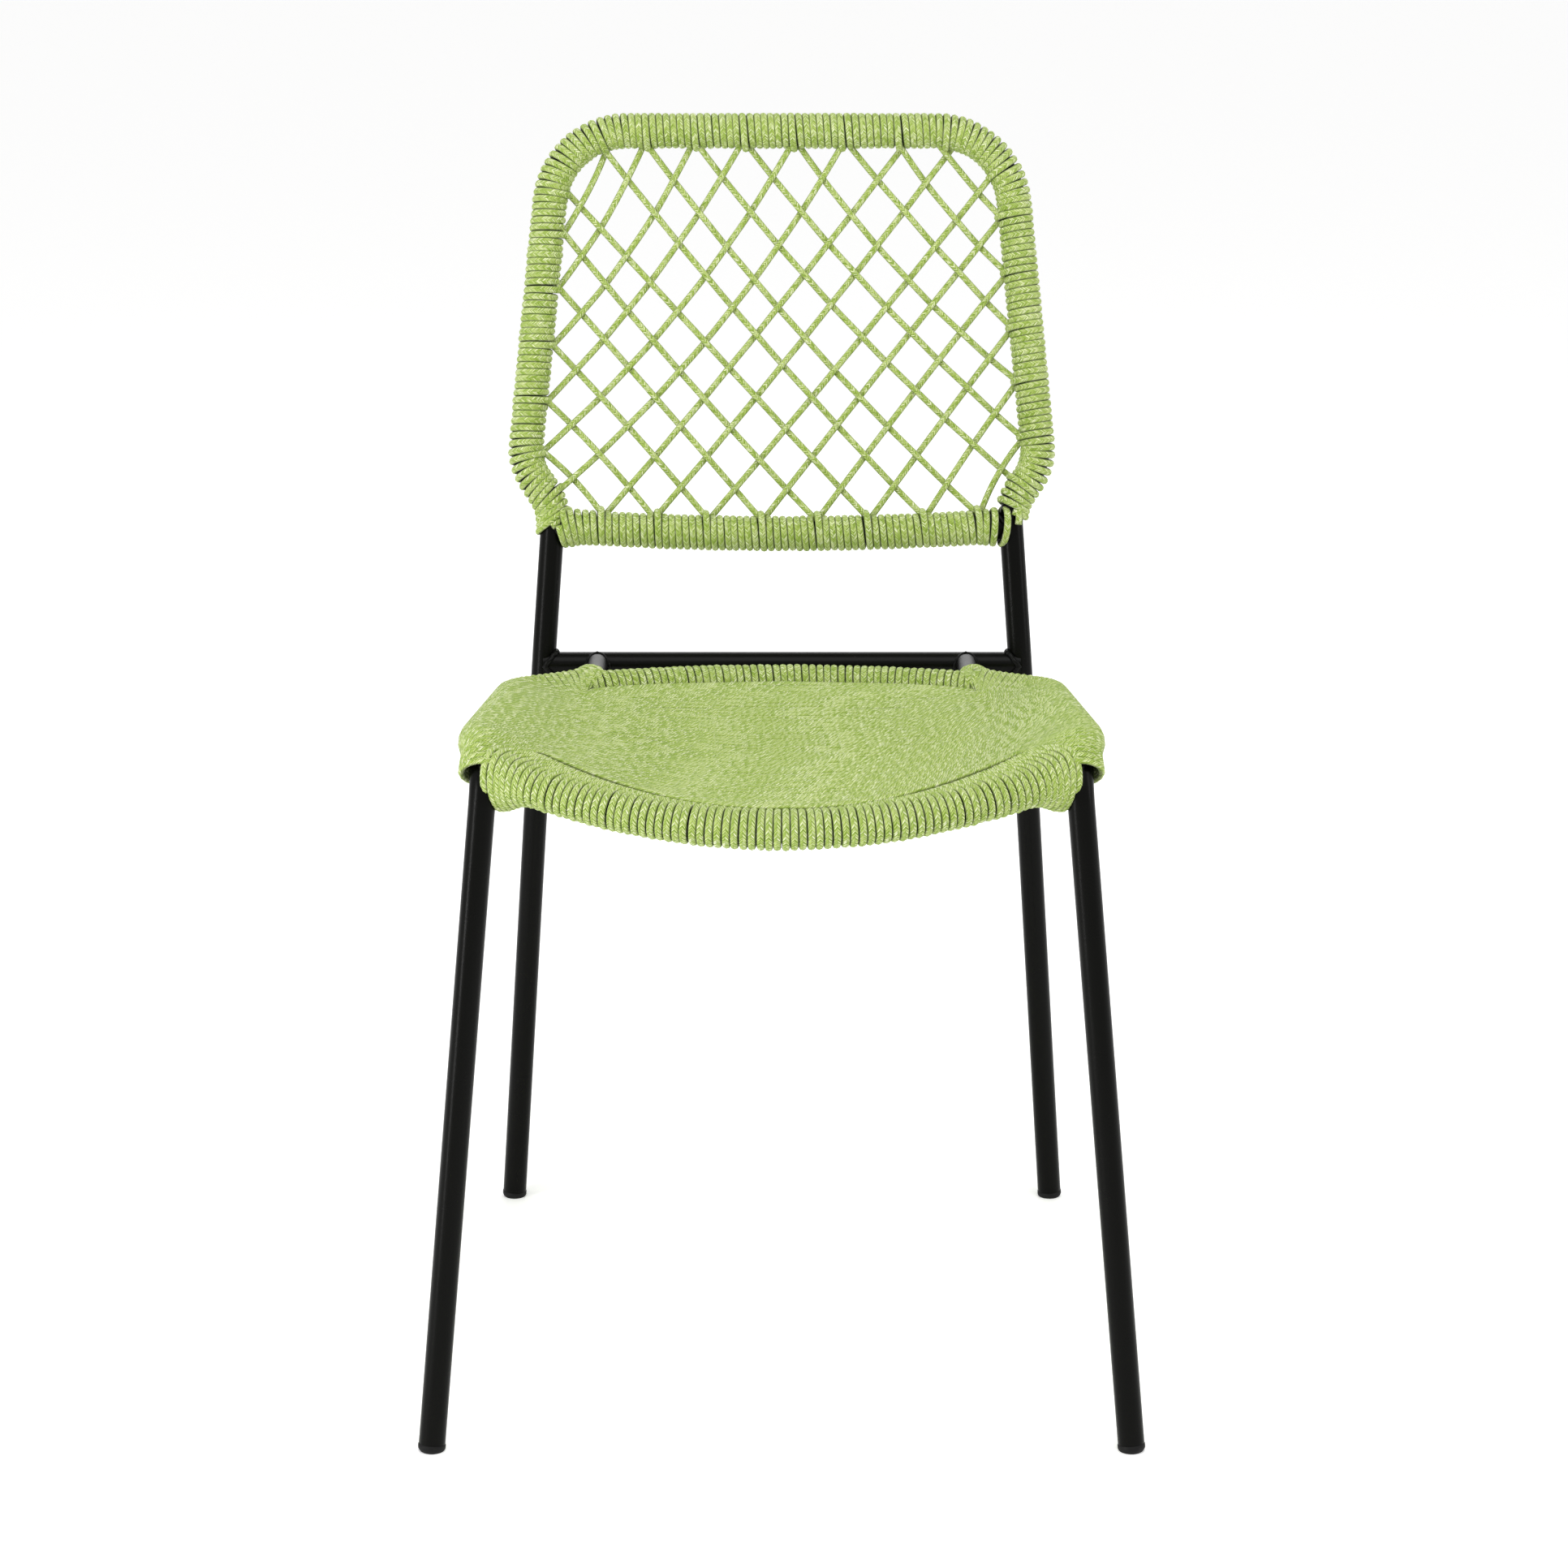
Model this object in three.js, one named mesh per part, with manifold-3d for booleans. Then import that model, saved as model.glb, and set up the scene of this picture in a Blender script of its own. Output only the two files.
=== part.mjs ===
// Stacking chair: a frame of bent steel tube, wound and woven with round braided rope.
// Millimetres, +Z up, the sitter faces -Y and +X is to the right of a person looking at the front.
// The chair is laid out about the middle of its four feet and stood on its own box centre at the end.
import * as THREE from 'three';
import { mergeVertices } from 'three/addons/utils/BufferGeometryUtils.js';
import Module from 'manifold-3d';

const wasm = await Module();
wasm.setup();

// ---------- driving dimensions ----------
const TUBE_RADIUS = 9;
const TUBE_WALL = 1.5;
const ROPE_THICKNESS = 4.2;      // a wound rope flattens a little under tension
const GAP = 0.3;                 // clearance that neighbouring pieces keep
const COPED_GAP = 0.5;           // clearance of a rail's end from the round tube that it is coped to

const FOOT_SPREAD_FRONT = 235;   // half distance between the front foot centres
const FOOT_SPREAD_REAR = 211.5;
const FOOT_REACH = 238.5;        // feet are this far in front of and behind the layout centre
const SOCKET_HEIGHT = 5;         // the tubes end here, in the rim of their foot plugs

const CROSSBAR_HEIGHT = 437;
const UPRIGHT_SPREAD_AT_CROSSBAR = 180;
const UPRIGHT_REACH_AT_CROSSBAR = 213;
const BACK_RECLINE = THREE.MathUtils.degToRad(12);
const HOOP_TOP_HEIGHT = 828;
const HOOP_TOP_SPREAD = 169;     // where the sides of the hoop would meet its top
const HOOP_WIDEST_SPREAD = 194;
const HOOP_WIDEST_HEIGHT = 584;
const UPRIGHT_TOP_SPREAD = 172;
const UPRIGHT_TOP_HEIGHT = 553;  // where the upright joggles outwards into the hoop
const REAR_LEG_BEND_RADIUS = 160;
const HOOP_CORNER_RADIUS = 58;
const JOGGLE_RADIUS = 40;
const BACK_RAIL_HEIGHT = 539;
const BACK_RAIL_DROP = 6;        // the lower back rail hangs this much lower in its middle

const SEAT_WIDEST_SPREAD = 203;  // side rail centre line where it bows out most
const LEG_TOP_SPREAD = 193.5;    // where the front legs would meet the side rails
const SEAT_FRONT_REACH = -184;
const SEAT_FRONT_HEIGHT = 468;
const SEAT_WIDEST_REACH = -125;
const SEAT_REAR_SPREAD = 196;
const SEAT_REAR_REACH = 128;
const SEAT_REAR_HEIGHT = 432;
const STUB_SPREAD = 139;         // where the side tubes butt against the crossbar
const STUB_BEND_REACH = 152;
const LEG_BEND_RADIUS = 34;
const LEG_BEND_STEPS = 6;
const SIDE_BOW_RADIUS = 200;
const REAR_BEND_RADIUS = 30;
const STUB_BEND_RADIUS = 20;
const FRONT_RAIL_HEIGHT = 431.5;   // in the middle, where it hangs lowest and bows forward most
const FRONT_RAIL_REACH = -238;
const REAR_RAIL_HEIGHT = 432.5;
const REAR_RAIL_REACH = 172;

const TUBE_SIDES = 12;
const BORE_SIDES = 8;
const SLEEVE_SIDES = 10;

// ---------- materials ----------
const steelPaint = new THREE.MeshStandardMaterial({ color: 0x15161a, roughness: 0.45, metalness: 0.1 });
const weldPaint = new THREE.MeshStandardMaterial({ color: 0x1d1e22, roughness: 0.5, metalness: 0.1 });
const footPlastic = new THREE.MeshStandardMaterial({ color: 0x1b1b1c, roughness: 0.6, metalness: 0 });
const greenRope = new THREE.MeshStandardMaterial({ color: 0x93b25a, roughness: 0.9, metalness: 0 });

const chair = new THREE.Group();

function addPiece(name, geometry, material) {
  const mesh = new THREE.Mesh(geometry, material);
  mesh.name = name;
  chair.add(mesh);
}

// ---------- solids ----------
function toSolid(geometry) {
  const bare = geometry.index ? geometry.toNonIndexed() : geometry.clone();
  bare.deleteAttribute('normal');
  bare.deleteAttribute('uv');
  const merged = mergeVertices(bare, 1e-4);
  return new wasm.Manifold(new wasm.Mesh({
    numProp: 3,
    vertProperties: new Float32Array(merged.attributes.position.array),
    triVerts: new Uint32Array(merged.index.array),
  }));
}

function toGeometry(solid) {
  const mesh = solid.getMesh();
  const geometry = new THREE.BufferGeometry();
  geometry.setAttribute('position', new THREE.BufferAttribute(new Float32Array(mesh.vertProperties), 3));
  geometry.setIndex(new THREE.BufferAttribute(new Uint32Array(mesh.triVerts), 1));
  return geometry;
}

function cut(geometry, ...cutters) {
  let solid = toSolid(geometry);
  for (const cutter of cutters) solid = solid.subtract(toSolid(cutter));
  return toGeometry(solid);
}

// ---------- bent tubes ----------
// A centre line made of straight runs and circular bends. Its knots are the only places where
// the extrusion steps, so the straight runs stay one step long.
class BentPath extends THREE.Curve {
  constructor(knots) {
    super();
    this.knots = knots;
  }

  getPoint(t, target = new THREE.Vector3()) {
    const place = THREE.MathUtils.clamp(t, 0, 1) * (this.knots.length - 1);
    const first = Math.min(Math.floor(place), this.knots.length - 2);
    return target.lerpVectors(this.knots[first], this.knots[first + 1], place - first);
  }

  getPointAt(u, target) {
    return this.getPoint(u, target);
  }

  getTangentAt(u, target = new THREE.Vector3()) {
    const index = Math.round(u * (this.knots.length - 1));
    const before = this.knots[Math.max(index - 1, 0)];
    const after = this.knots[Math.min(index + 1, this.knots.length - 1)];
    const here = this.knots[index];
    const arriving = here.clone().sub(before).normalize();
    const leaving = after.clone().sub(here).normalize();
    return target.copy(arriving).add(leaving).normalize();
  }
}

// Corners are [point, bend radius, steps in the bend]; the first and last have no bend.
function bentPath(corners) {
  const knots = [corners[0][0].clone()];
  for (let i = 1; i < corners.length - 1; i += 1) {
    const [corner, radius, steps] = corners[i];
    const toward = corners[i - 1][0].clone().sub(corner).normalize();
    const away = corners[i + 1][0].clone().sub(corner).normalize();
    const half = toward.angleTo(away) / 2;
    const centre = toward.clone().add(away).normalize().multiplyScalar(radius / Math.sin(half)).add(corner);
    const start = toward.clone().multiplyScalar(radius / Math.tan(half)).add(corner).sub(centre);
    const axis = new THREE.Vector3().crossVectors(away, toward).normalize();
    const turn = Math.PI - 2 * half;
    for (let step = 0; step <= steps; step += 1) {
      knots.push(start.clone().applyAxisAngle(axis, turn * step / steps).add(centre));
    }
  }
  knots.push(corners[corners.length - 1][0].clone());
  return new BentPath(knots);
}

function arcedPath(start, middle, end, steps) {
  const arch = new THREE.QuadraticBezierCurve3(
    start,
    middle.clone().multiplyScalar(2).addScaledVector(start, -0.5).addScaledVector(end, -0.5),
    end,
  );
  return new BentPath(arch.getPoints(steps));
}

function partOfPath(path, fromLength, toLength) {
  const knots = [];
  let run = 0;
  for (let i = 0; i < path.knots.length - 1; i += 1) {
    const a = path.knots[i];
    const b = path.knots[i + 1];
    const span = a.distanceTo(b);
    if (run + span > fromLength && run < fromLength) knots.push(a.clone().lerp(b, (fromLength - run) / span));
    if (run >= fromLength && run <= toLength) knots.push(a.clone());
    if (run < toLength && run + span >= toLength) knots.push(a.clone().lerp(b, (toLength - run) / span));
    run += span;
  }
  return new BentPath(knots);
}

function pathLength(path) {
  let length = 0;
  for (let i = 1; i < path.knots.length; i += 1) length += path.knots[i].distanceTo(path.knots[i - 1]);
  return length;
}

function polygon(Kind, radius, sides) {
  const outline = new Kind();
  for (let i = 0; i <= sides; i += 1) {
    const angle = 2 * Math.PI * (i % sides) / sides;
    const point = [radius * Math.cos(angle), radius * Math.sin(angle)];
    if (i === 0) outline.moveTo(...point);
    else outline.lineTo(...point);
  }
  return outline;
}

function sweep(path, radius, boreRadius = 0, sides = TUBE_SIDES) {
  const section = polygon(THREE.Shape, radius, sides);
  if (boreRadius > 0) section.holes.push(polygon(THREE.Path, boreRadius, BORE_SIDES));
  return new THREE.ExtrudeGeometry(section, { steps: path.knots.length - 1, extrudePath: path });
}

const tube = (path) => sweep(path, TUBE_RADIUS, TUBE_RADIUS - TUBE_WALL);
const tubeRoom = (path) => sweep(path, TUBE_RADIUS + COPED_GAP);

// A winding of rope round a tube, as one sleeve.
const SLEEVE_BORE = (TUBE_RADIUS + GAP) / Math.cos(Math.PI / BORE_SIDES);
const SLEEVE_RADIUS = TUBE_RADIUS + ROPE_THICKNESS;
const sleeve = (path) => sweep(path, SLEEVE_RADIUS, SLEEVE_BORE, SLEEVE_SIDES);

// ---------- layout helpers ----------
function point(x, y, z) {
  return new THREE.Vector3(x, y, z);
}

function mirrored(v) {
  return point(-v.x, v.y, v.z);
}

// The back leans on a plane that starts at the crossbar.
function onBackPlane(x, height, lift = 0) {
  const rise = height - CROSSBAR_HEIGHT;
  const away = UPRIGHT_REACH_AT_CROSSBAR + rise * Math.tan(BACK_RECLINE);
  return point(x, away - lift * Math.cos(BACK_RECLINE), height + lift * Math.sin(BACK_RECLINE));
}

// ---------- rear legs, uprights and back hoop: one tube, bent from foot to foot ----------
const rearFoot = point(FOOT_SPREAD_REAR, FOOT_REACH, 0);
const crossbarEnd = onBackPlane(UPRIGHT_SPREAD_AT_CROSSBAR, CROSSBAR_HEIGHT);
const rearLegAxis = crossbarEnd.clone().sub(rearFoot).normalize();
const rearTubeEnd = rearFoot.clone().addScaledVector(rearLegAxis, SOCKET_HEIGHT);
const rightHalf = [
  [rearTubeEnd, 0, 0],
  [crossbarEnd, REAR_LEG_BEND_RADIUS, 4],
  [onBackPlane(UPRIGHT_TOP_SPREAD, UPRIGHT_TOP_HEIGHT), JOGGLE_RADIUS, 3],
  [onBackPlane(HOOP_WIDEST_SPREAD, HOOP_WIDEST_HEIGHT), JOGGLE_RADIUS, 3],
  [onBackPlane(HOOP_TOP_SPREAD, HOOP_TOP_HEIGHT), HOOP_CORNER_RADIUS, 6],
];
const leftHalf = rightHalf.map(([corner, radius, steps]) => [mirrored(corner), radius, steps]).reverse();
const hoopPath = bentPath([...rightHalf, ...leftHalf]);
addPiece('rear_hoop_tube', tube(hoopPath), steelPaint);

// ---------- front legs with their side rails: one bent tube each ----------
function sideRailHeight(reach) {
  const share = (reach - SEAT_FRONT_REACH) / (SEAT_REAR_REACH - SEAT_FRONT_REACH);
  return THREE.MathUtils.lerp(SEAT_FRONT_HEIGHT, SEAT_REAR_HEIGHT, share);
}

const frontFoot = point(FOOT_SPREAD_FRONT, -FOOT_REACH, 0);
const seatFrontCorner = point(LEG_TOP_SPREAD, SEAT_FRONT_REACH, SEAT_FRONT_HEIGHT);
const frontLegAxis = seatFrontCorner.clone().sub(frontFoot).normalize();
const sideCorners = [
  [frontFoot.clone().addScaledVector(frontLegAxis, SOCKET_HEIGHT), 0, 0],
  [seatFrontCorner, LEG_BEND_RADIUS, LEG_BEND_STEPS],
  [point(SEAT_WIDEST_SPREAD, SEAT_WIDEST_REACH, sideRailHeight(SEAT_WIDEST_REACH)), SIDE_BOW_RADIUS, 3],
  [point(SEAT_REAR_SPREAD, SEAT_REAR_REACH, SEAT_REAR_HEIGHT), REAR_BEND_RADIUS, 5],
  [point(STUB_SPREAD, STUB_BEND_REACH, SEAT_REAR_HEIGHT + 1), STUB_BEND_RADIUS, 4],
  [point(STUB_SPREAD, UPRIGHT_REACH_AT_CROSSBAR, CROSSBAR_HEIGHT), 0, 0],
];
const sidePaths = {
  right: bentPath(sideCorners),
  left: bentPath(sideCorners.map(([corner, radius, steps]) => [mirrored(corner), radius, steps])),
};

// ---------- straight and bowed rails, coped where they meet a round tube ----------
const crossbarPath = new BentPath([mirrored(crossbarEnd), crossbarEnd]);
const backRailEnd = onBackPlane(UPRIGHT_TOP_SPREAD, BACK_RAIL_HEIGHT);
const backRailPath = arcedPath(
  mirrored(backRailEnd),
  onBackPlane(0, BACK_RAIL_HEIGHT - BACK_RAIL_DROP),
  backRailEnd,
  6,
);
// The front rail meets each front leg half way round its bend, one knot past the foot end and half the bend on.
const legBendMiddle = 1 + LEG_BEND_STEPS / 2;
const frontRailEnd = sidePaths.right.knots[legBendMiddle];
const frontRailPath = arcedPath(
  mirrored(frontRailEnd),
  point(0, FRONT_RAIL_REACH, FRONT_RAIL_HEIGHT),
  frontRailEnd,
  10,
);
// The rear rail meets the side tubes in the middle of their last bend, where they turn to the crossbar.
const rearRailEnd = point(STUB_SPREAD, STUB_BEND_REACH - 4, SEAT_REAR_HEIGHT + 1);
const rearRailPath = arcedPath(
  mirrored(rearRailEnd),
  point(0, REAR_RAIL_REACH, REAR_RAIL_HEIGHT),
  rearRailEnd,
  6,
);

const hoopRoom = tubeRoom(hoopPath);
const sideRoom = { right: tubeRoom(sidePaths.right), left: tubeRoom(sidePaths.left) };
const crossbarRoom = tubeRoom(crossbarPath);
addPiece('crossbar', cut(tube(crossbarPath), hoopRoom), steelPaint);
addPiece('lower_back_rail', cut(tube(backRailPath), hoopRoom), steelPaint);
addPiece('front_rail', cut(tube(frontRailPath), sideRoom.right, sideRoom.left), steelPaint);
addPiece('rear_rail', cut(tube(rearRailPath), sideRoom.right, sideRoom.left), steelPaint);
for (const side of ['left', 'right']) {
  addPiece(`front_leg_${side}`, cut(tube(sidePaths[side]), crossbarRoom), steelPaint);
}

// ---------- weld beads: a fillet that follows the saddle where two tubes meet ----------
const BEAD_RADIUS = 2.3;
const BEAD_STEPS = 16;
const BEAD_SIDES = 5;
const SADDLE_SOFTNESS = 0.05;    // keeps the saddle curve smooth where it crosses the tube's axis

function weldBead(railPath, mainDirection, rooms) {
  const joint = railPath.knots[railPath.knots.length - 1];
  const outward = railPath.knots[railPath.knots.length - 2].clone().sub(joint).normalize();
  const across = new THREE.Vector3().crossVectors(outward, mainDirection).normalize();
  const along = new THREE.Vector3().crossVectors(across, outward).normalize();
  const bead = new THREE.TorusGeometry(TUBE_RADIUS, BEAD_RADIUS, BEAD_SIDES, BEAD_STEPS);
  const places = bead.attributes.position;
  for (let i = 0; i < places.count; i += 1) {
    const angle = Math.atan2(places.getY(i), places.getX(i));
    const saddle = TUBE_RADIUS * Math.sqrt(Math.cos(angle) ** 2 + SADDLE_SOFTNESS);
    places.setZ(i, places.getZ(i) + saddle);
  }
  bead.applyMatrix4(new THREE.Matrix4().makeBasis(along, across, outward).setPosition(joint));
  return cut(bead, ...rooms);
}

function reversed(path) {
  return new BentPath([...path.knots].reverse());
}

const up = point(0, 0, 1);
const sideways = point(1, 0, 0);
const rearwards = point(0, 1, 0);
const alongLegBend = up.clone().add(rearwards).normalize();
const welds = {
  crossbar: [crossbarPath, up, hoopRoom],
  back_rail: [backRailPath, up, hoopRoom],
  front_rail: [frontRailPath, alongLegBend, null],
  rear_rail: [rearRailPath, rearwards, null],
};
for (const [name, [path, direction, room]] of Object.entries(welds)) {
  addPiece(`weld_${name}_right`, weldBead(path, direction, [room ?? sideRoom.right, tubeRoom(path)]), weldPaint);
  const turned = reversed(path);
  addPiece(`weld_${name}_left`, weldBead(turned, direction, [room ?? sideRoom.left, tubeRoom(path)]), weldPaint);
}
for (const side of ['left', 'right']) {
  const bead = weldBead(sidePaths[side], sideways, [crossbarRoom, sideRoom[side]]);
  addPiece(`weld_stub_${side}`, bead, weldPaint);
}

// ---------- foot plugs: a ribbed stem in the bore and a rounded cap, flat where it stands ----------
const PLUG_STEM_RADIUS = 6.4;
const PLUG_STEM_LENGTH = 20;
const PLUG_CAP_RADIUS = 9.3;
const PLUG_CAP_EDGE = 1.5;       // the cap's rounded lower edge
const plugProfile = [
  [0, PLUG_STEM_LENGTH],
  [PLUG_STEM_RADIUS - 1, PLUG_STEM_LENGTH],
  [PLUG_STEM_RADIUS, PLUG_STEM_LENGTH - 2],
  [PLUG_STEM_RADIUS, SOCKET_HEIGHT - GAP],
  [PLUG_CAP_RADIUS, SOCKET_HEIGHT - GAP],
  [PLUG_CAP_RADIUS, PLUG_CAP_EDGE],
  [PLUG_CAP_RADIUS - PLUG_CAP_EDGE, -1],
  [0, -3],
].map(([radius, height]) => new THREE.Vector2(radius, height)).reverse();
const FLOOR_SLAB = 60;           // a block below the floor, which trims the sole of a leaning plug flat
const belowFloor = new THREE.BoxGeometry(FLOOR_SLAB, FLOOR_SLAB, FLOOR_SLAB);
belowFloor.translate(0, 0, -FLOOR_SLAB / 2);

function footPlug(foot, legAxis) {
  const plug = new THREE.LatheGeometry(plugProfile, TUBE_SIDES);
  plug.applyQuaternion(new THREE.Quaternion().setFromUnitVectors(point(0, 1, 0), legAxis));
  const trimmed = cut(plug, belowFloor);
  trimmed.translate(foot.x, foot.y, foot.z);
  return trimmed;
}

const feet = { front: [frontFoot, frontLegAxis], rear: [rearFoot, rearLegAxis] };
for (const [end, [foot, axis]] of Object.entries(feet)) {
  addPiece(`foot_plug_${end}_right`, footPlug(foot, axis), footPlastic);
  addPiece(`foot_plug_${end}_left`, footPlug(mirrored(foot), mirrored(axis)), footPlastic);
}

// ---------- rope windings, one sleeve round each tube ----------
function middleOfPath(path, endGap) {
  return partOfPath(path, endGap, pathLength(path) - endGap);
}

const WINDING_END_GAP = 17;      // bare tube beside each weld
const WINDING_FRONT_GAP = 25;    // from the corner above a front leg to the first turn on its side rail
const WINDING_STUB_GAP = 12;     // from the last turn on a side rail to the stub's centre line
const HOOP_WOUND_ABOVE = UPRIGHT_TOP_HEIGHT + 5;
const hoopStart = hoopPath.knots.findIndex((knot) => knot.z > HOOP_WOUND_ABOVE);
const hoopWound = new BentPath(hoopPath.knots.slice(hoopStart, hoopPath.knots.length - hoopStart));
addPiece('rope_winding_hoop', sleeve(hoopWound), greenRope);
const backRailWound = middleOfPath(backRailPath, WINDING_END_GAP);
addPiece('rope_winding_back_rail', sleeve(backRailWound), greenRope);
addPiece('rope_winding_front_rail', sleeve(middleOfPath(frontRailPath, WINDING_END_GAP)), greenRope);
addPiece('rope_winding_rear_rail', sleeve(middleOfPath(rearRailPath, WINDING_END_GAP)), greenRope);

const sideStart = sidePaths.right.knots.findIndex((knot) => knot.y > SEAT_FRONT_REACH + WINDING_FRONT_GAP);
const sideEnd = sidePaths.right.knots.findLastIndex((knot) => knot.x > STUB_SPREAD + WINDING_STUB_GAP);
for (const side of ['left', 'right']) {
  const wound = new BentPath(sidePaths[side].knots.slice(sideStart, sideEnd + 1));
  addPiece(`rope_winding_side_${side}`, sleeve(wound), greenRope);
}

// ---------- back lattice: two sets of slanting ropes tied from edge to edge of the hoop ----------
const LATTICE_BAR = 4.4;
const ANCHORS_ALONG = 8;         // along the hoop's top, and along the lower back rail
const ANCHORS_UP = 7;            // up each side of the hoop
const TOP_ANCHOR_FIRST = -139;
const TOP_ANCHOR_PITCH = 37.8;
const BOTTOM_ANCHOR_FIRST = -136;
const BOTTOM_ANCHOR_PITCH = 41;
const LEFT_ANCHOR_HIGHEST = 786;
const LEFT_ANCHOR_PITCH = 37.5;
const RIGHT_ANCHOR_HIGHEST = 799;
const RIGHT_ANCHOR_PITCH = 37;
const sideLean = (HOOP_WIDEST_SPREAD - HOOP_TOP_SPREAD) / (HOOP_TOP_HEIGHT - HOOP_WIDEST_HEIGHT);

const TUCK_HEIGHT = 580;         // below this the hoop's inner edge curves in towards the back rail
const TUCK_SLOPE = 0.75;

function edgeAnchor(hand, height) {
  const edge = HOOP_TOP_SPREAD + sideLean * (HOOP_TOP_HEIGHT - height) - SLEEVE_RADIUS;
  const tuck = TUCK_SLOPE * Math.max(0, TUCK_HEIGHT - height);
  return new THREE.Vector2(hand * (edge - tuck), height);
}

const topAnchors = [];
const bottomAnchors = [];
const topEdge = HOOP_TOP_HEIGHT - SLEEVE_RADIUS;
const bottomEdge = BACK_RAIL_HEIGHT - BACK_RAIL_DROP + SLEEVE_RADIUS;
for (let i = 0; i < ANCHORS_ALONG; i += 1) {
  topAnchors.push(new THREE.Vector2(TOP_ANCHOR_FIRST + TOP_ANCHOR_PITCH * i, topEdge));
  bottomAnchors.push(new THREE.Vector2(BOTTOM_ANCHOR_FIRST + BOTTOM_ANCHOR_PITCH * i, bottomEdge));
}
const leftAnchors = [];
const rightAnchors = [];
for (let i = 0; i < ANCHORS_UP; i += 1) {
  leftAnchors.push(edgeAnchor(-1, LEFT_ANCHOR_HIGHEST - LEFT_ANCHOR_PITCH * i));
  rightAnchors.push(edgeAnchor(1, RIGHT_ANCHOR_HIGHEST - RIGHT_ANCHOR_PITCH * i));
}
const fallingStrands = {
  from: [...leftAnchors.slice(0, -1).reverse(), ...topAnchors],
  to: [...bottomAnchors, ...rightAnchors.slice(1).reverse()],
};
const risingStrands = {
  from: [...leftAnchors.slice(1), ...bottomAnchors],
  to: [...topAnchors, ...rightAnchors.slice(0, -1)],
};

// The bars are joined flat in the plane of the back, with y running up the slope, then leaned back.
function latticeBar(from, to) {
  const slope = new THREE.Vector2(1, 1 / Math.cos(BACK_RECLINE));
  const rise = new THREE.Vector2(0, CROSSBAR_HEIGHT);
  const start = from.clone().sub(rise).multiply(slope);
  const end = to.clone().sub(rise).multiply(slope);
  const along = end.clone().sub(start);
  const bar = new THREE.BoxGeometry(along.length(), LATTICE_BAR, LATTICE_BAR);
  bar.rotateZ(along.angle());
  bar.translate((start.x + end.x) / 2, (start.y + end.y) / 2, 0);
  return bar;
}

let bars = null;
for (const { from, to } of [fallingStrands, risingStrands]) {
  from.forEach((anchor, i) => {
    const bar = toSolid(latticeBar(anchor, to[i]));
    bars = bars ? bars.add(bar) : bar;
  });
}
const leaned = toGeometry(bars);
leaned.applyMatrix4(new THREE.Matrix4().makeBasis(
  point(1, 0, 0),
  point(0, Math.sin(BACK_RECLINE), Math.cos(BACK_RECLINE)),
  point(0, -Math.cos(BACK_RECLINE), Math.sin(BACK_RECLINE)),
).setPosition(onBackPlane(0, CROSSBAR_HEIGHT)));
let lattice = toSolid(leaned);
const windingRoom = (path) => toSolid(sweep(path, SLEEVE_RADIUS + GAP, 0, SLEEVE_SIDES));
for (const path of [hoopPath, hoopWound, backRailPath, backRailWound]) {
  lattice = lattice.subtract(windingRoom(path));
}
addPiece('rope_back_lattice', toGeometry(lattice), greenRope);

// ---------- seat weave: lengthwise ropes below, a dense layer of crosswise ropes on top ----------
const SEAT_EDGE_GAP = SLEEVE_RADIUS + 3;
const SEAT_FRONT_HALF_WIDTH = 178;
const SEAT_REAR_HALF_WIDTH = 161;
const SEAT_HALF_WIDTH_BOW = 10;
const SEAT_FIELD_FRONT = 440;
const SEAT_FIELD_REAR = 435;
const SEAT_SAG = 5;
const SEAT_LAYER = 4;            // thickness of one layer of ropes
const SEAT_LAYER_GAP = 1.8;
const WING_SHARPNESS = 5;        // how late the seat turns up towards the side rails
const WING_RISE = 4;             // how far above the side rail's centre line the seat's edge comes
const SEAT_STEPS_ACROSS = 14;
const SEAT_STEPS_ALONG = 8;

function seatPoint(u, v, depth) {
  const share = v + 0.5;
  const bow = SEAT_HALF_WIDTH_BOW * Math.sin(Math.PI * share);
  const halfWidth = THREE.MathUtils.lerp(SEAT_FRONT_HALF_WIDTH, SEAT_REAR_HALF_WIDTH, share) + bow;
  const x = 2 * u * halfWidth;
  const frontBow = (frontRailEnd.y - FRONT_RAIL_REACH) * (x / frontRailEnd.x) ** 2;
  const rearBow = (REAR_RAIL_REACH - rearRailEnd.y) * (x / rearRailEnd.x) ** 2;
  const front = FRONT_RAIL_REACH + frontBow + SEAT_EDGE_GAP;
  const rear = REAR_RAIL_REACH - rearBow - SEAT_EDGE_GAP;
  const y = THREE.MathUtils.lerp(front, rear, share);
  const sag = SEAT_SAG * Math.sin(Math.PI * share);
  const field = THREE.MathUtils.lerp(SEAT_FIELD_FRONT, SEAT_FIELD_REAR, share) - sag;
  const wing = (sideRailHeight(y) + WING_RISE - field) * Math.abs(2 * u) ** WING_SHARPNESS;
  return point(x, y, field + wing - depth);
}

function seatLayer(topDepth) {
  const sheet = new THREE.BoxGeometry(1, 1, 1, SEAT_STEPS_ACROSS, SEAT_STEPS_ALONG, 1);
  const places = sheet.attributes.position;
  for (let i = 0; i < places.count; i += 1) {
    const depth = topDepth + (0.5 - places.getZ(i)) * SEAT_LAYER;
    const moved = seatPoint(places.getX(i), places.getY(i), depth);
    places.setXYZ(i, moved.x, moved.y, moved.z);
  }
  return sheet;
}

addPiece('rope_seat_crosswise', seatLayer(0), greenRope);
addPiece('rope_seat_lengthwise', seatLayer(SEAT_LAYER + SEAT_LAYER_GAP), greenRope);

// ---------- stand the chair on the floor with its box centred over the origin ----------
const box = new THREE.Box3().setFromObject(chair);
const centre = box.getCenter(new THREE.Vector3());
chair.position.set(-centre.x, -centre.y, -box.min.z);

export default chair;
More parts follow.
